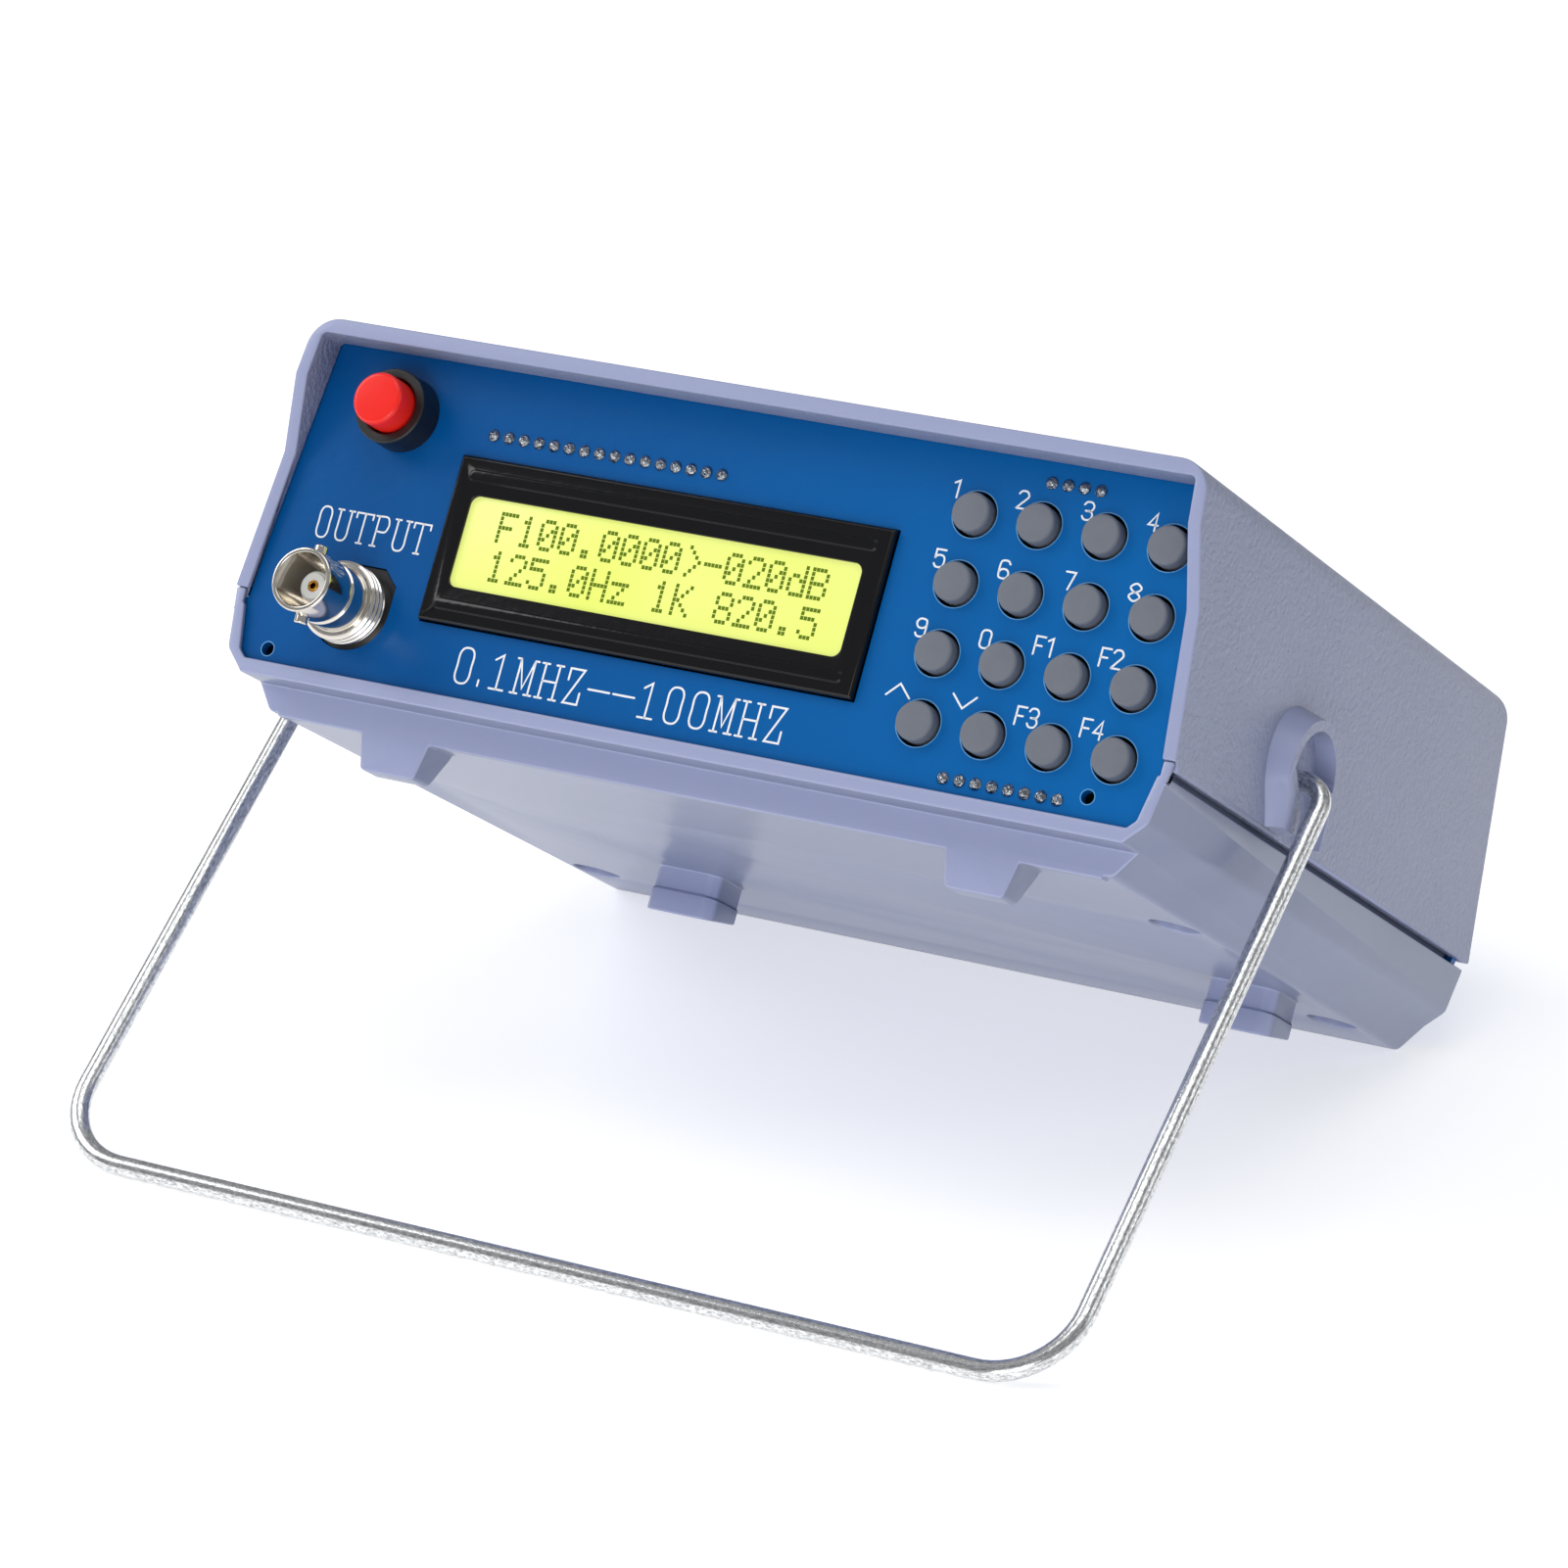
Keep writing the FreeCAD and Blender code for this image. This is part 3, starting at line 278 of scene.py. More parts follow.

# painted highlight: a thin paler line round each hole stands for the light caught on its edge
rim_highlight_paint, tree, shader = finish("painted_hole_edge_highlight", "#5d9fd6", {"Roughness": 0.4, "IOR": 1.5})
coords = grain(tree, shader, 0.3, 0.01)
mottle(tree, shader, coords, 1.5, "#4f93cd", "#6cabdf")

KEYS = ["1", "2", "3", "4", "5", "6", "7", "8", "9", "0", "f1", "f2", "up", "down", "f3", "f4"]
HOLE_R = 3.4
TOOLING_R = 1.02
TOOLING_HOLES = [(-69.2, 2.0), (64.8, 3.3)]
RIM_WIDE = 0.14
RIM_PROUD = 0.03


def case_box(name):
    """Lowest and highest corner of a CAD node, in case millimetres."""
    points = [TO_CASE @ v.co for v in frame["nodes"][name].data.vertices]
    low = Vector([min(p[i] for p in points) for i in range(3)])
    high = Vector([max(p[i] for p in points) for i in range(3)])
    return low, high


def middle(name):
    """Centre of a CAD node across the panel, as (x, z) in case millimetres."""
    low, high = case_box(name)
    return (low.x + high.x) / 2, (low.z + high.z) / 2


def lathe(bm, profile, x, z, steps=64):
    """Turns a profile of (radius, y) about the line through (x, z) that runs straight back."""
    rings = []
    for radius, y in profile:
        count = 1 if radius == 0 else steps
        ring = []
        for i in range(count):
            a = 2 * math.pi * i / steps
            ring.append(bm.verts.new((x + radius * math.cos(a), y, z + radius * math.sin(a))))
        rings.append(ring)
    for near, far in zip(rings, rings[1:]):
        for i in range(steps):
            corners = [near[i % len(near)], near[(i + 1) % len(near)],
                       far[(i + 1) % len(far)], far[i % len(far)]]
            corners = list(dict.fromkeys(corners))
            if len(corners) > 2:
                bm.faces.new(corners)
    return [vert for ring in rings for vert in ring]


def hole_rims(name, places, radius):
    """The painted highlight round each hole, a flat pale ring a hair proud of the panel."""
    outer = radius + RIM_WIDE
    ring = [(radius, -RIM_PROUD), (outer, -RIM_PROUD), (outer, 0.0), (radius, 0.0),
            (radius, -RIM_PROUD)]
    bm = bmesh.new()
    for x, z in places:
        lathe(bm, ring, x, z, 48)
    to_piece(name, bm, "case", "panel_blue", rim_highlight_paint)


hole_rims("key_hole_rims", [middle("key_" + key) for key in KEYS], HOLE_R)
hole_rims("tooling_hole_rings", TOOLING_HOLES, TOOLING_R)

# ------------------------------------------------------------ printed legends
# White epoxy ink, silk-screened on the panel with a pen-plotter lettering: single strokes with
# round ends beside the keys, and thin letters with serifs for the jack and the range.

# screen ink: flat slightly uneven white, thinner at the 0.12 mm marks of the mesh
ink, tree, shader = finish("white_screen_ink", "#f2f5f8", {"Roughness": 0.5, "IOR": 1.5})
coords = grain(tree, shader, 0.12, 0.01)
mottle(tree, shader, coords, 0.8, "#e9eef4", "#fbfcfd")

# Strokes on a grid 6 wide and 6 high: each pair of digits is a point, and ~ starts a curve.
ROUND_LETTERS = {
    "0": ["~20 11 13 15 26 46 55 53 51 40 20"], "1": ["15 36 30"],
    "2": ["~15 26 46 55 54 32 10", "10 50"],
    "3": ["~15 26 46 55 54 43 23", "~33 43 52 51 40 20 11"], "4": ["40 46 12 52"],
    "5": ["56 16 13", "~13 24 44 53 51 40 20 11"], "6": ["~55 46 26 15 11 20 40 51 52 43 23 12"],
    "7": ["16 56 30"], "8": ["~33 14 15 36 55 54 33", "~33 12 11 30 51 52 33"],
    "9": ["~11 20 40 51 55 46 26 15 14 23 43 54"], "F": ["56 16 10", "13 43"],
    "^": ["01 35 61"], "v": ["05 31 65"]}
SERIF_LETTERS = {
    "O": ["~20 11 13 15 26 46 55 53 51 40 20"], "0": ["~20 11 13 15 26 46 55 53 51 40 20"],
    "1": ["15 36 30", "10 50"], "U": ["~16 13 11 20 40 51 53 56", "06 26", "46 66"],
    "T": ["05 06 66 65", "36 30", "20 40"],
    "P": ["06 16", "16 10", "00 20", "~16 46 55 54 43 13"], "-": ["03 63"], ".": ["30 31"],
    "M": ["06 16 31 56 66", "16 10", "00 20", "56 50", "40 60"],
    "H": ["06 26", "16 10", "00 20", "46 66", "56 50", "40 60", "13 53"],
    "Z": ["14 16 56 10 50 52"]}
INK = 0.03


def curve_through(points, steps=6):
    """A smooth line through points; a line that ends where it began is closed smoothly."""
    loop = points[0] == points[-1]
    line = []
    last = len(points) - 1
    for i in range(last):
        before = points[i - 1] if i else (points[-2] if loop else points[0])
        after = points[i + 2] if i + 2 <= last else (points[1] if loop else points[-1])
        a, b = points[i], points[i + 1]
        for s in range(steps):
            t = s / steps
            line.append(0.5 * ((2 * a) + (b - before) * t
                               + (2 * before - 5 * a + 4 * b - after) * t ** 2
                               + (3 * a - before - 3 * b + after) * t ** 3))
    line.append(points[-1])
    return line


def ribbon(bm, line, width):
    """A flat stroke of ink along a line of (x, z) points, with round ends."""
    loop = (line[0] - line[-1]).length < 1e-6
    line = line[:-1] if loop else line
    count = len(line)
    sides = []
    for i, point in enumerate(line):
        ahead = line[(i + 1) % count] if loop or i < count - 1 else point
        behind = line[i - 1] if loop or i else point
        into = (point - behind).normalized() if point != behind else (ahead - point).normalized()
        out = (ahead - point).normalized() if ahead != point else into
        along = (into + out).normalized()
        spread = width / 2 / max(0.5, along.dot(out))
        across = Vector((-along.y, along.x)) * spread
        sides.append((point + across, point - across))
    rim = [a for a, b in sides] + [b for a, b in reversed(sides)]
    if not loop:
        for end, other in ((line[-1], line[-2]), (line[0], line[1])):
            heading = (end - other).normalized()
            turn = math.atan2(heading.y, heading.x)
            cap = [end + Vector((math.cos(turn + a), math.sin(turn + a))) * width / 2
                   for a in (math.pi / 4, 0, -math.pi / 4)]
            spot = count if end is line[-1] else len(rim)
            rim[spot:spot] = cap
        lid = [bm.verts.new((p.x, -INK, p.y)) for p in rim]
        faces = [bm.faces.new(lid)]
    else:
        pairs = [(bm.verts.new((a.x, -INK, a.y)), bm.verts.new((b.x, -INK, b.y)))
                 for a, b in sides]
        faces = [bm.faces.new((pairs[i][0], pairs[i - 1][0], pairs[i - 1][1], pairs[i][1]))
                 for i in range(count)]
    grown = bmesh.ops.extrude_face_region(bm, geom=faces)
    for item in grown["geom"]:
        if isinstance(item, bmesh.types.BMVert):
            item.co.y = 0.0


def write(bm, text, letters, x, z, wide, high, pitch, pen):
    """Letters from their strokes, starting at (x, z), each wide by high; a point takes less."""
    for letter in text:
        x -= pitch * 0.3 if letter == "." else 0
        for stroke in letters[letter]:
            points = []
            for pair in stroke.lstrip("~").split():
                across, rise = int(pair[0]) / 6 * wide, int(pair[1]) / 6 * high
                points.append(Vector((x + across, z + rise)))
            ribbon(bm, curve_through(points) if stroke.startswith("~") else points, pen)
        x += pitch * 0.75 if letter == "." else pitch


# Beside each key: across and up from its middle, then letter width, height, pitch and pen.
ARROW = (-6.1, 2.7, 3.7, 2.8, 0, 0.28)
PAIR = (-6.4, 2.35, 2.1, 2.6, 1.9, 0.28)
DIGIT = (-4.6, 1.95, 2.2, 2.5, 0, 0.28)
# On the panel: left end and foot, then letter width, height, pitch and pen.
JACK_LABEL = (-67.2, 19.8, 2.8, 4.5, 3.3, 0.27)
RANGE_LABEL = (-38.0, 2.45, 3.5, 5.1, 4.13, 0.3)

bm = bmesh.new()
for key in KEYS:
    text = {"up": "^", "down": "v"}.get(key, key.upper())
    left, rise, *hand = ARROW if text in "^v" else PAIR if len(text) == 2 else DIGIT
    x, z = middle("key_" + key)
    write(bm, text, ROUND_LETTERS, x + left, z + rise, *hand)
to_piece("key_legends", bm, "case", "panel_blue", ink)

bm = bmesh.new()
write(bm, "OUTPUT", SERIF_LETTERS, *JACK_LABEL)
write(bm, "0.1MHZ--100MHZ", SERIF_LETTERS, *RANGE_LABEL)
to_piece("panel_legends", bm, "case", "panel_blue", ink)

# ------------------------------------------------------------ header pins
# Three strips of square pins are soldered through the panel on a 2.54 mm pitch. From the front
# each shows as a small bright cone of solder with the clipped pin standing in its middle.

# bright solder: liquid-looking and dark where it mirrors the room, wrinkled every 0.6 mm
solder, tree, shader = finish("bright_solder", "#757b82", {"Metallic": 1.0, "Roughness": 0.12})
coords = grain(tree, shader, 0.6, 0.3)
mottle(tree, shader, coords, 0.6, "#3a4048", "#c9ced3")

PIN_PITCH = 2.54
PIN_R = 0.32
DOME_R = 0.95
DOME = [(0, 0), (DOME_R, 0), (DOME_R, -0.06), (0.8, -0.24), (0.62, -0.42), (0.46, -0.56),
        (0.34, -0.62), (0.3, -0.74), (0.16, -0.8), (0, -0.8)]
CLIPPED_ASKEW = 0.12
ASKEW_TURN = 2.3
STRIP_TALL = 2.5
BEHIND_STRIP = 2.5


def plate(bm, low, high):
    """A plain block between two corners."""
    for v in bmesh.ops.create_cube(bm, size=1)["verts"]:
        v.co = Vector([low[i] if v.co[i] < 0 else high[i] for i in range(3)])


def header(name, node_name, count):
    """One strip: a solder dome and a pin at each hole, and the moulding that holds the pins."""
    low, high = case_box(node_name)
    z = (low.z + high.z) / 2
    bm = bmesh.new()
    for i in range(count):
        x = low.x + PIN_PITCH * (i + 0.5)
        askew = CLIPPED_ASKEW * math.sin(i * ASKEW_TURN)
        for vert in lathe(bm, DOME, x, z, 20):
            vert.co.x -= askew * vert.co.y
        lathe(bm, [(0, 0), (PIN_R, 0), (PIN_R, high.y), (0, high.y)], x, z, 12)
    back_face = high.y - BEHIND_STRIP
    plate(bm, (low.x, back_face - STRIP_TALL, z - PIN_PITCH / 2),
          (high.x, back_face, z + PIN_PITCH / 2))
    to_piece(name, bm, "case", "tinned_pins", solder, node_name, smooth=50)


header("display_pins", "lcd_header", 16)
header("upper_pins", "keypad_header_upper", 4)
header("lower_pins", "keypad_header_lower", 8)

# ------------------------------------------------------------ display
# A two-line character module: a folded steel frame in black enamel holds a liquid-crystal cell
# over a yellow-green backlight. The frame has a long pressed rib above and below the window.

# black enamel on steel: near-mirror black with a slight orange peel, 1.6 mm across
enamel, tree, shader = finish("black_enamel", "#050506", {
    "Roughness": 0.1, "IOR": 1.52, "Specular IOR Level": 0.35})
coords = grain(tree, shader, 1.6, 0.02)
mottle(tree, shader, coords, 10.0, "#060608", "#0c0c0f")
fine_copy("display_frame", "lcd_frame", 0.16, "display_black", enamel, turn=40)

# lit cell: a matt polariser glowing lemon green, a little brighter where the lamps sit
lit_cell, tree, shader = finish("lit_yellow_green_cell", "#a9b53a", {
    "Roughness": 0.3, "IOR": 1.5, "Specular IOR Level": 0.3, "Emission Strength": 0.62})
coords = node(tree, "TexCoord", {})
GLOW_PATCH = 24.0
glow = node(tree, "TexNoise", {
    "Vector": coords.outputs["Object"], "Scale": 1000 / GLOW_PATCH, "Detail": 1.0})
mix = node(tree, "Mix", {
    0: glow.outputs["Fac"], 6: linear("#e4f276"), 7: linear("#fbffb4")}, data_type="RGBA")
tree.links.new(mix.outputs[2], shader.inputs["Emission Color"])

# diffuser: milky acrylic behind the cell
diffuser, tree, shader = finish("milky_acrylic_diffuser", "#e8ffa0", {
    "Roughness": 0.3, "IOR": 1.49, "Subsurface Weight": 0.3, "Subsurface Scale": 0.003})
coords = grain(tree, shader, 1.0, 0.01)
mottle(tree, shader, coords, 8.0, "#e2fb94", "#efffb0")
repaint(diffuser, "lcd_backlight")

low, high = case_box("lcd_glass")
bm = bmesh.new()
plate(bm, low, high)
bmesh.ops.bevel(bm, geom=bm.edges[:], offset=0.15, segments=2, affect="EDGES", profile=0.5)
to_piece("display_cell", bm, "case", "display_glass", lit_cell, "lcd_glass")
CELL_FRONT = low.y
CELL_X = (low.x + high.x) / 2
CELL_Z = (low.z + high.z) / 2

# Segments of the cell: 16 by 2 characters of 5 by 7 square dots. A glyph is its rows, top first.
DOTS = {
    "0": "01110 10001 10011 10101 11001 10001 01110",
    "1": "00100 01100 00100 00100 00100 00100 01110",
    "2": "01110 10001 00001 00010 00100 01000 11111",
    "5": "11111 10000 11110 00001 00001 10001 01110",
    "8": "01110 10001 10001 01110 10001 10001 01110",
    "B": "11110 10001 10001 11110 10001 10001 11110",
    "F": "11111 10000 10000 11110 10000 10000 10000",
    "H": "10001 10001 10001 11111 10001 10001 10001",
    "K": "10001 10010 10100 11000 10100 10010 10001",
    "d": "00001 00001 01101 10011 10001 10001 01111",
    "z": "00000 00000 11111 00010 00100 01000 11111",
    ".": "00000 00000 00000 00000 00000 01100 01100",
    "-": "00000 00000 00000 11111 00000 00000 00000",
    ">": "01000 00100 00010 00001 00010 00100 01000",
    " ": "00000 " * 7}
DOT_WIDE = 0.51
DOT_HIGH = 0.57
DOT_PITCH_X = 0.59
DOT_PITCH_Z = 0.68
LETTER_PITCH = 3.43
LINE_PITCH = 5.8
TEXT_LEFT = -27.0
TEXT_TOP = 5.2
SEGMENT_PROUD = 0.02

# dark segment: the liquid crystal turned opaque, olive against the light
segment, tree, shader = finish("dark_olive_segment", "#62790c", {
    "Roughness": 0.4, "IOR": 1.5, "Specular IOR Level": 0.15})
coords = grain(tree, shader, 0.3, 0.005)
mottle(tree, shader, coords, 3.0, "#587008", "#6d8516")

bm = bmesh.new()
for line, text in enumerate(("F100.0000>-020dB", "125.0Hz 1K 820.5")):
    for column, letter in enumerate(text):
        for r, row in enumerate(DOTS[letter].split()):
            for c, lit in enumerate(row):
                if lit == "1":
                    x = CELL_X + TEXT_LEFT + LETTER_PITCH * column + DOT_PITCH_X * c
                    z = CELL_Z + TEXT_TOP - LINE_PITCH * line - DOT_PITCH_Z * r
                    plate(bm, (x, CELL_FRONT - SEGMENT_PROUD, z - DOT_HIGH),
                          (x + DOT_WIDE, CELL_FRONT, z))
to_piece("display_segments", bm, "case", "display_light", segment)

# ------------------------------------------------------------ keys
# Sixteen round caps on key switches, standing 1.8 mm out of the panel. They are moulded in a
# firm grey plastic, flat on top with a soft rolled edge.

# matt ABS: mid grey, dry, with the even powdery 0.22 mm surface of a blasted mould
key_plastic, tree, shader = finish("matt_grey_abs", "#6d727c", {
    "Roughness": 0.52, "Specular IOR Level": 0.35, "IOR": 1.5, "Subsurface Weight": 0.04,
    "Subsurface Scale": 0.001})
coords = grain(tree, shader, 0.22, 0.012)
mottle(tree, shader, coords, 3.0, "#696e78", "#737882")


def rounded(corners, steps=6):
    """Points along an open outline of (a, b, radius) corners, with each radius drawn as an arc."""
    line = [Vector(corners[0][:2])]
    for before, here, after in zip(corners, corners[1:], corners[2:]):
        point = Vector(here[:2])
        if here[2] == 0:
            line.append(point)
            continue
        inward = (Vector(before[:2]) - point).normalized()
        outward = (Vector(after[:2]) - point).normalized()
        half = inward.angle(outward) / 2
        centre = point + (inward + outward).normalized() * here[2] / math.sin(half)
        start = point + inward * here[2] / math.tan(half) - centre
        sweep = start.angle_signed(point + outward * here[2] / math.tan(half) - centre)
        for s in range(steps + 1):
            turned = Matrix.Rotation(-sweep * s / steps, 2)
            line.append(centre + turned @ start)
    line.append(Vector(corners[-1][:2]))
    return [(p.x, p.y) for p in line]


CAP_EDGE = 0.5
STEM_R = 1.6
STEM_LONG = 1.4
for key in KEYS:
    low, high = case_box("key_" + key)
    x, z = middle("key_" + key)
    radius = (high.x - low.x) / 2
    skirt = high.y - STEM_LONG
    bm = bmesh.new()
    lathe(bm, rounded([
        (0, low.y, 0), (radius, low.y, CAP_EDGE), (radius, skirt, 0.1), (STEM_R, skirt, 0.1),
        (STEM_R, high.y, 0.1), (0, high.y, 0)]), x, z, 56)
    to_piece("cap_" + key, bm, "key_" + key, "key_grey", key_plastic, "key_" + key)

# ------------------------------------------------------------ power button
# A round push switch held by a nut behind the panel. Its black moulded bezel stands 5 mm
# proud and guides a red cap, which goes in 3 mm.

# polished red plastic: strong red with a clean highlight round its rim, waved every 4 mm
cap_red, tree, shader = finish("glossy_red_plastic", "#f52a24", {
    "Roughness": 0.26, "IOR": 1.5, "Specular IOR Level": 0.4})
coords = grain(tree, shader, 4.0, 0.01)
mottle(tree, shader, coords, 6.0, "#f02018", "#fa2a22")

# nylon bezel: black, half glossy, with 0.6 mm flow marks
bezel_black, tree, shader = finish("black_nylon", "#121214", {"Roughness": 0.34, "IOR": 1.53})
coords = grain(tree, shader, 0.6, 0.01)
mottle(tree, shader, coords, 4.0, "#0f0f11", "#17171a")

low, high = case_box("power_cap")
POWER_X, POWER_Z = middle("power_cap")
RED_EDGE = 0.7
RED_BACK = 1.5
STALK_R = 2.0
cap_r = (high.x - low.x) / 2
bm = bmesh.new()
lathe(bm, rounded([
    (0, low.y, 0), (cap_r, low.y, RED_EDGE), (cap_r, RED_BACK, 0.2), (STALK_R, RED_BACK, 0.2),
    (STALK_R, high.y, 0.2), (0, high.y, 0)], 8), POWER_X, POWER_Z, 80)
to_piece("red_cap", bm, "power_button", "cap_red", cap_red, "power_cap")

low, high = case_box("power_collar")
bezel_r = (high.x - low.x) / 2
BORE_R = 4.2
NECK_R = 5.0
CHAMFER = 0.2
bm = bmesh.new()
lathe(bm, rounded([
    (BORE_R, high.y - 1, 0), (BORE_R, low.y, 0.3), (bezel_r - CHAMFER, low.y, 0.12),
    (bezel_r, low.y + CHAMFER, 0.12), (bezel_r, 0, 0), (NECK_R, 0, 0), (NECK_R, high.y, 0),
    (BORE_R, high.y, 0), (BORE_R, high.y - 1, 0)]), POWER_X, POWER_Z, 80)
to_piece("button_bezel", bm, "case", "collar_black", bezel_black, "power_collar")
repaint(zinc_plate, "power_nut", "inlet_nut")

# ------------------------------------------------------------ output jack
# A coaxial socket with a bayonet: a nickel-plated brass barrel with two lugs, a white PTFE
# sleeve and a gold-plated spring contact, screwed into a black moulded block behind the panel.

# polished nickel on brass: a warm mirror, just uneven every 1.2 mm from turning
nickel, tree, shader = finish("polished_nickel", "#d9d4cb", {"Metallic": 1.0, "Roughness": 0.13})
coords = grain(tree, shader, 1.2, 0.004)
mottle(tree, shader, coords, 4.0, "#cfc9bf", "#e3dfd8")

# turned PTFE: waxy translucent white, its tool marks drawn 0.5 mm apart so that they show
ptfe, tree, shader = finish("white_ptfe", "#f1efec", {
    "Roughness": 0.38, "IOR": 1.38, "Subsurface Weight": 0.3, "Subsurface Scale": 0.001})
coords = grain(tree, shader, 0.5, 0.01)
mottle(tree, shader, coords, 2.0, "#eceae6", "#f6f5f3")

# gold flash: yellow metal, a soft mirror over 0.4 mm marks in the brass
gold, tree, shader = finish("gold_flash", "#d79a3c", {"Metallic": 1.0, "Roughness": 0.2})
coords = grain(tree, shader, 0.4, 0.006)
mottle(tree, shader, coords, 1.0, "#cc8e30", "#e2a94c")
repaint(gold, "inlet_pin")
repaint(bezel_black, "jack_housing")

JACK_X, JACK_Z = middle("jack_insulator")
low, high = case_box("jack_barrel")
FRONT = low.y
JACK_R = 4.8
CUP_R = 4.05
CUP_FLOOR = -5.0
GROOVE_DEEP = 0.32
GROOVE_FRONT = -9.2
GROOVE_BACK = -8.0
GROOVE_SLOPE = 0.2
BARREL_END = -4.2
THREAD_R = 6.0
THREAD_ROOT = 5.5
THREAD_PITCH = 1.1
FIRST_THREAD = -3.95
NECK_TOP = -0.5
JACK_NECK_R = 5.8
WAY_R = 2.3
groove_r = JACK_R - GROOVE_DEEP
profile = [
    (CUP_R, CUP_FLOOR, 0), (CUP_R, FRONT, 0.18), (JACK_R, FRONT, 0.3),
    (JACK_R, GROOVE_FRONT, 0.08), (groove_r, GROOVE_FRONT + GROOVE_SLOPE, 0.1),
    (groove_r, GROOVE_BACK - GROOVE_SLOPE, 0.1), (JACK_R, GROOVE_BACK, 0.08),
    (JACK_R, BARREL_END, 0.2), (THREAD_ROOT + 0.05, BARREL_END, 0.1)]
for i in range(3):
    ridge = FIRST_THREAD + THREAD_PITCH * i
    profile += [(THREAD_ROOT, ridge, 0.08), (THREAD_R, ridge + 0.25, 0.14),
                (THREAD_R, ridge + 0.55, 0.14), (THREAD_ROOT, ridge + 0.85, 0.08)]
profile += [(JACK_NECK_R, NECK_TOP, 0.05), (JACK_NECK_R, high.y, 0), (WAY_R, high.y, 0),
            (WAY_R, CUP_FLOOR, 0), (CUP_R, CUP_FLOOR, 0)]
bm = bmesh.new()
lathe(bm, rounded(profile, 5), JACK_X, JACK_Z, 96)
LUG_Y = -12.0
LUG_R = 1.0
LUG_LONG = 1.5
LUG_SUNK = 0.4
for side in (-1, 1):
    lug = bmesh.new()
    lathe(lug, rounded([(LUG_R, 0, 0), (LUG_R, LUG_LONG, 0.25), (0, LUG_LONG, 0)]), 0, 0, 32)
    foot = Matrix.Translation((JACK_X, LUG_Y, JACK_Z + side * (JACK_R - LUG_SUNK)))
    turn = Matrix.Rotation(math.radians(90 * side), 4, "X")
    bmesh.ops.transform(lug, matrix=foot @ turn, verts=lug.verts)
    loose = bpy.data.meshes.new("lug")
    lug.to_mesh(loose)
    lug.free()
    bm.from_mesh(loose)
    bpy.data.meshes.remove(loose)
to_piece("jack_shell", bm, "case", "jack_nickel", nickel, "jack_barrel", smooth=40)

low, high = case_box("jack_insulator")
sleeve_r = (high.x - low.x) / 2
BORE = 0.85
bm = bmesh.new()
lathe(bm, rounded([
    (BORE, high.y, 0), (BORE, low.y, 0.1), (sleeve_r - 0.35, low.y, 0.12),
    (sleeve_r - 0.3, low.y + 0.3, 0.08), (sleeve_r, low.y + 0.45, 0.1), (sleeve_r, high.y, 0),
    (BORE, high.y, 0)]), JACK_X, JACK_Z, 64)
to_piece("jack_sleeve", bm, "case", "insulator_white", ptfe, "jack_insulator")

low, high = case_box("jack_contact")
SOCKET_R = 0.45
SOCKET_DEEP = 4
CONTACT_R = BORE - 0.02
bm = bmesh.new()
lathe(bm, rounded([
    (0, high.y, 0), (CONTACT_R, high.y, 0), (CONTACT_R, low.y, 0.12), (SOCKET_R, low.y, 0.1),
    (SOCKET_R, low.y + SOCKET_DEEP, 0), (0, low.y + SOCKET_DEEP, 0)]), JACK_X, JACK_Z, 40)
to_piece("jack_centre", bm, "case", "contact_gold", gold, "jack_contact")

# ------------------------------------------------------------ top half of the case
# A deep ABS cover whose roof overhangs the panel as a visor. Sides and roof carry a spark
# texture; the front edge, the recess and the two bosses that hold the bail were left smooth.

# spark-textured ABS: lavender grey, matt, with a leathery grain that glints where light rakes
# it. The real grit is about 0.3 mm, drawn coarser and deeper so that it shows.
abs_spark, tree, shader = finish("abs_spark_textured", "#8a91ab", {
    "Roughness": 0.42, "IOR": 1.53, "Subsurface Weight": 0.05, "Subsurface Scale": 0.002})
GRIT = 0.9
GRIT_DEEP = 0.42
coords = grain(tree, shader, GRIT, GRIT_DEEP, detail=3.0)
mix = mottle(tree, shader, coords, 30.0, "#868da8", "#8e95b0")
# painted light: faces that look out of the front of the case are painted paler, as if lit from the
# front
forward = paint_front_light(tree, shader, coords, mix, "#9aa2c5")
# the grain fades out on faces that look forward, which were polished
grained = node(tree, "MapRange", {"Value": forward, "To Min": 0.9, "To Max": 0.0})
bump = shader.inputs["Normal"].links[0].from_node
tree.links.new(grained.outputs["Result"], bump.inputs["Strength"])

BOSS_IN = 70
BOSS_R = 15


def on_boss(place):
    """True beside the bail, where the edges are too close together to round."""
    return abs(place.x) > BOSS_IN and (place - PIVOT).yz.length < BOSS_R


fine_copy("top_case", "top_shell", 0.3, "case_top_plastic", abs_spark, leave=on_boss)

# ------------------------------------------------------------ bail
# One length of 3 mm steel wire, bent into a wide stirrup whose turned-in ends spring into the
# bosses. It is bright zinc plated after bending, and drawing has left fine lines along it.

# bright zinc wire: streaky silver, dark and light by turns along the drawing lines, which are
# drawn as streaks about 0.3 mm wide, far coarser than the real ones, so that they show
wire_zinc, tree, shader = finish("bright_zinc_wire", "#c3c5c4", {
    "Metallic": 1.0, "Roughness": 0.24})
run = node(tree, "Attribute", {}, attribute_name="run")
streak = node(tree, "TexNoise", {
    "Vector": run.outputs["Vector"], "Scale": 1.0, "Detail": 4.0, "Roughness": 0.65})
drawn = node(tree, "MapRange", {
    "Value": streak.outputs["Fac"], "From Min": 0.34, "From Max": 0.66})
tone = node(tree, "Mix", {
    0: drawn.outputs["Result"], 6: linear("#a2a6a8"), 7: linear("#ffffff")}, data_type="RGBA")
tree.links.new(tone.outputs[2], shader.inputs["Base Color"])
rough = node(tree, "MapRange", {"Value": drawn.outputs["Result"], "To Min": 0.28, "To Max": 0.12})
tree.links.new(rough.outputs["Result"], shader.inputs["Roughness"])
STREAK_DEEP = 0.025
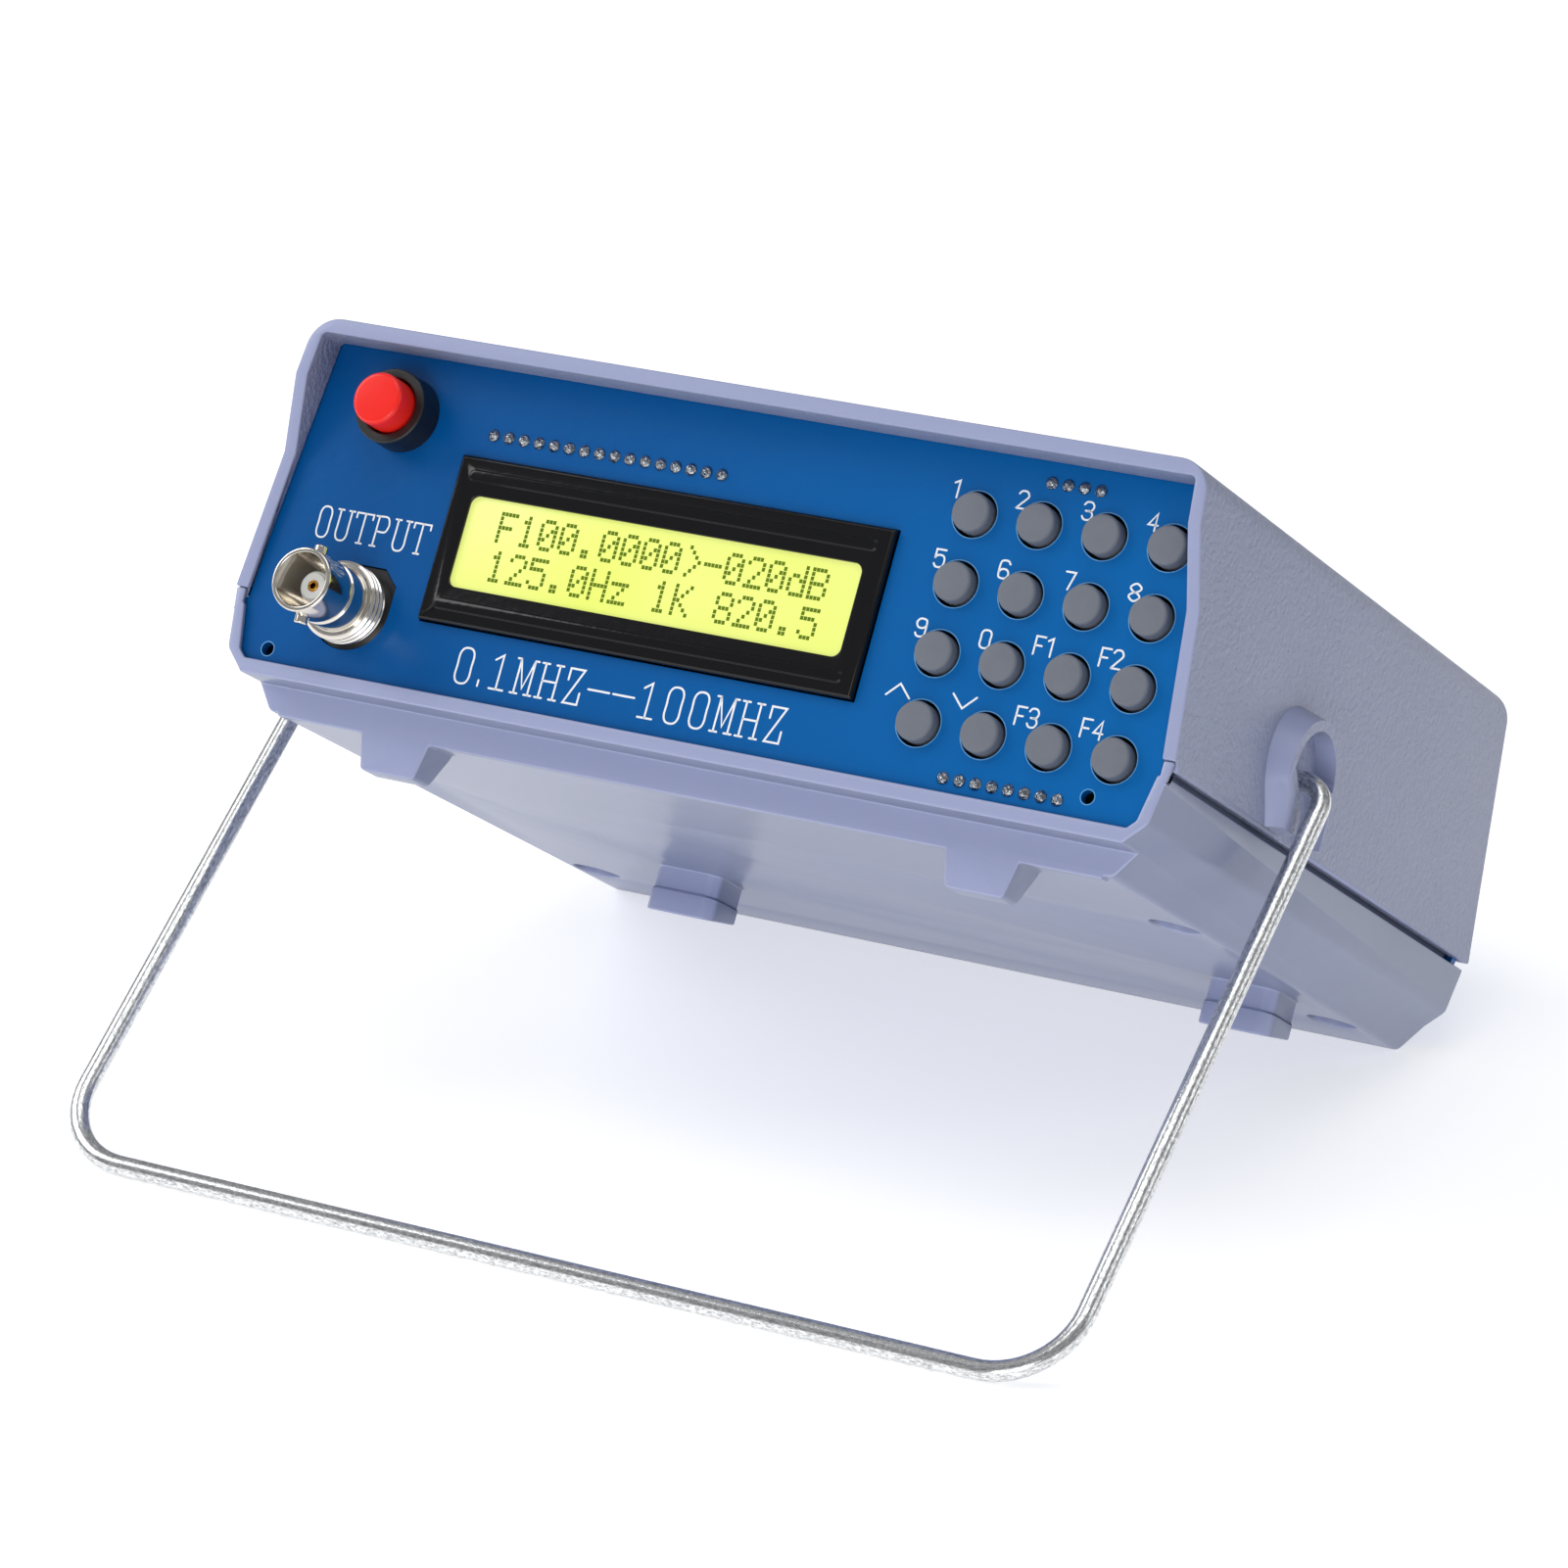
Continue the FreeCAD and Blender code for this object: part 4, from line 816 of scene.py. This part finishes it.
bump = node(tree, "Bump", {"Height": streak.outputs["Fac"], "Distance": STREAK_DEEP / 1000})
tree.links.new(bump.outputs["Normal"], shader.inputs["Normal"])

WIRE_R = 1.5
LEG_X = 81.9
END_X = 72.8
REACH = 102.0
STAND = math.radians(22.5)
TOP_BEND = 4.5
LOW_BEND = 12.0
half_wire = rounded([
    (0, REACH, 0), (LEG_X, REACH, LOW_BEND), (LEG_X, 0, TOP_BEND), (END_X, 0, 0)], 14)
outline = [Vector(p) for p in half_wire]
outline = [Vector((-p.x, p.y)) for p in reversed(outline[1:])] + outline
# the straight runs are divided too, so that the streaks follow the wire evenly
RUN_STEP = 4.0
line = []
for a, b in zip(outline, outline[1:]):
    parts = max(1, round((b - a).length / RUN_STEP))
    line += [a.lerp(b, s / parts) for s in range(parts)]
line.append(outline[-1])
DOWN = Vector((0, -math.sin(STAND), -math.cos(STAND)))
OVER = Vector((1, 0, 0)).cross(DOWN)
STEPS = 28
# streaks per millimetre along the wire, and how many of them reach from its middle to its side
STREAKS_ALONG = 1.3
STREAKS_ROUND = 5.0
bm = bmesh.new()
along_layer = bm.verts.layers.float_vector.new("run")
rings = []
travelled = 0.0
for i, point in enumerate(line):
    ahead = line[min(i + 1, len(line) - 1)]
    behind = line[max(i - 1, 0)]
    travelled += (point - line[i - 1]).length if i else 0.0
    heading = (ahead - behind).normalized()
    side = Vector((-heading.y, heading.x))
    outward = Vector((side.x, 0, 0)) + DOWN * side.y
    ring = []
    for s in range(STEPS):
        a = 2 * math.pi * s / STEPS
        spot = PIVOT + Vector((point.x, 0, 0)) + DOWN * point.y
        vert = bm.verts.new(spot + (outward * math.cos(a) + OVER * math.sin(a)) * WIRE_R)
        vert[along_layer] = (
            travelled * STREAKS_ALONG, math.cos(a) * STREAKS_ROUND, math.sin(a) * STREAKS_ROUND)
        ring.append(vert)
    rings.append(ring)
for near, far in zip(rings, rings[1:]):
    for s in range(STEPS):
        bm.faces.new((near[s], near[(s + 1) % STEPS], far[(s + 1) % STEPS], far[s]))
bm.faces.new(rings[0])
bm.faces.new(rings[-1])
to_piece("wire_bail", bm, "bail", "bail_wire", wire_zinc, "bail", smooth=50)

# ------------------------------------------------------------ supply inlet
# A round socket for a low-voltage plug, screwed through the rear panel: a black nylon body with
# a flange outside, and a plated pin in its well.

fine_copy("inlet_socket", "inlet_body", 0.2, "housing_black", bezel_black, turn=40)

# ------------------------------------------------------------ studio
# A plain pale table in a pale room. Soft square lights hang to the left, in front and above, and
# a weak one to the right fills the shadows.

FLOOR_SIZE = 12.0
half = FLOOR_SIZE / 2
floor_mesh = bpy.data.meshes.new("table")
floor_mesh.from_pydata(
    [(-half, -half, 0), (half, -half, 0), (half, half, 0), (-half, half, 0)], [], [(0, 1, 2, 3)])
floor = bpy.data.objects.new("table", floor_mesh)
bpy.context.scene.collection.objects.link(floor)

# opal acrylic lit from below: shadowless white with hardly any grain
board, tree, shader = finish("lit_opal_acrylic", "#f4f4f5", {
    "Roughness": 0.7, "Emission Color": linear("#ffffff"), "Emission Strength": 0.5})
grain(tree, shader, 1.5, 0.01)
floor_mesh.materials.append(board)

ROOM_LIGHT = 0.36
world = bpy.data.worlds.new("pale_room")
bpy.context.scene.world = world
world.use_nodes = True
room = world.node_tree.nodes["Background"]
room.inputs["Color"].default_value = linear("#f6f7fa")
room.inputs["Strength"].default_value = ROOM_LIGHT

MIDDLE = Vector((0, 0, 0.06))


def softbox(name, azimuth, elevation, distance, size, power):
    """A square soft light aimed at the instrument, in degrees, metres and watts.

    Azimuth 0 is straight in front of it, and 90 is to its right.
    """
    a, e = math.radians(azimuth), math.radians(elevation)
    aim = Vector((math.sin(a) * math.cos(e), -math.cos(a) * math.cos(e), math.sin(e)))
    light = bpy.data.lights.new(name, "AREA")
    light.size = size
    light.energy = power
    lamp = bpy.data.objects.new(name, light)
    lamp.location = MIDDLE + aim * distance
    lamp.rotation_mode = "QUATERNION"
    lamp.rotation_quaternion = aim.to_track_quat("Z", "Y")
    bpy.context.scene.collection.objects.link(lamp)


softbox("left_light", azimuth=-72, elevation=36, distance=1.6, size=0.9, power=9)
softbox("front_light", azimuth=12, elevation=4, distance=1.7, size=0.8, power=9)
softbox("top_light", azimuth=30, elevation=82, distance=1.5, size=1.0, power=5)
softbox("right_light", azimuth=100, elevation=25, distance=1.8, size=0.7, power=1.5)

# the camera stands to the right and a little above, with a long lens
LENS = 155.7
SENSOR = 36
CAMERA_AT = Vector((0.4589, -0.8227, 0.3820))
CAMERA_AIM = Vector((-0.4643, 0.8199, -0.3349))
CAMERA_ROLL = 0.0056
camera = bpy.data.cameras.new("camera")
camera.lens = LENS
camera.sensor_width = SENSOR
camera.clip_start = 0.05
viewer = bpy.data.objects.new("camera", camera)
viewer.location = CAMERA_AT
viewer.rotation_mode = "QUATERNION"
viewer.rotation_quaternion = (
    CAMERA_AIM.to_track_quat("-Z", "Y") @ Quaternion((0, 0, 1), CAMERA_ROLL))
bpy.context.scene.collection.objects.link(viewer)
bpy.context.scene.camera = viewer
bpy.context.scene.view_settings.view_transform = "Standard"
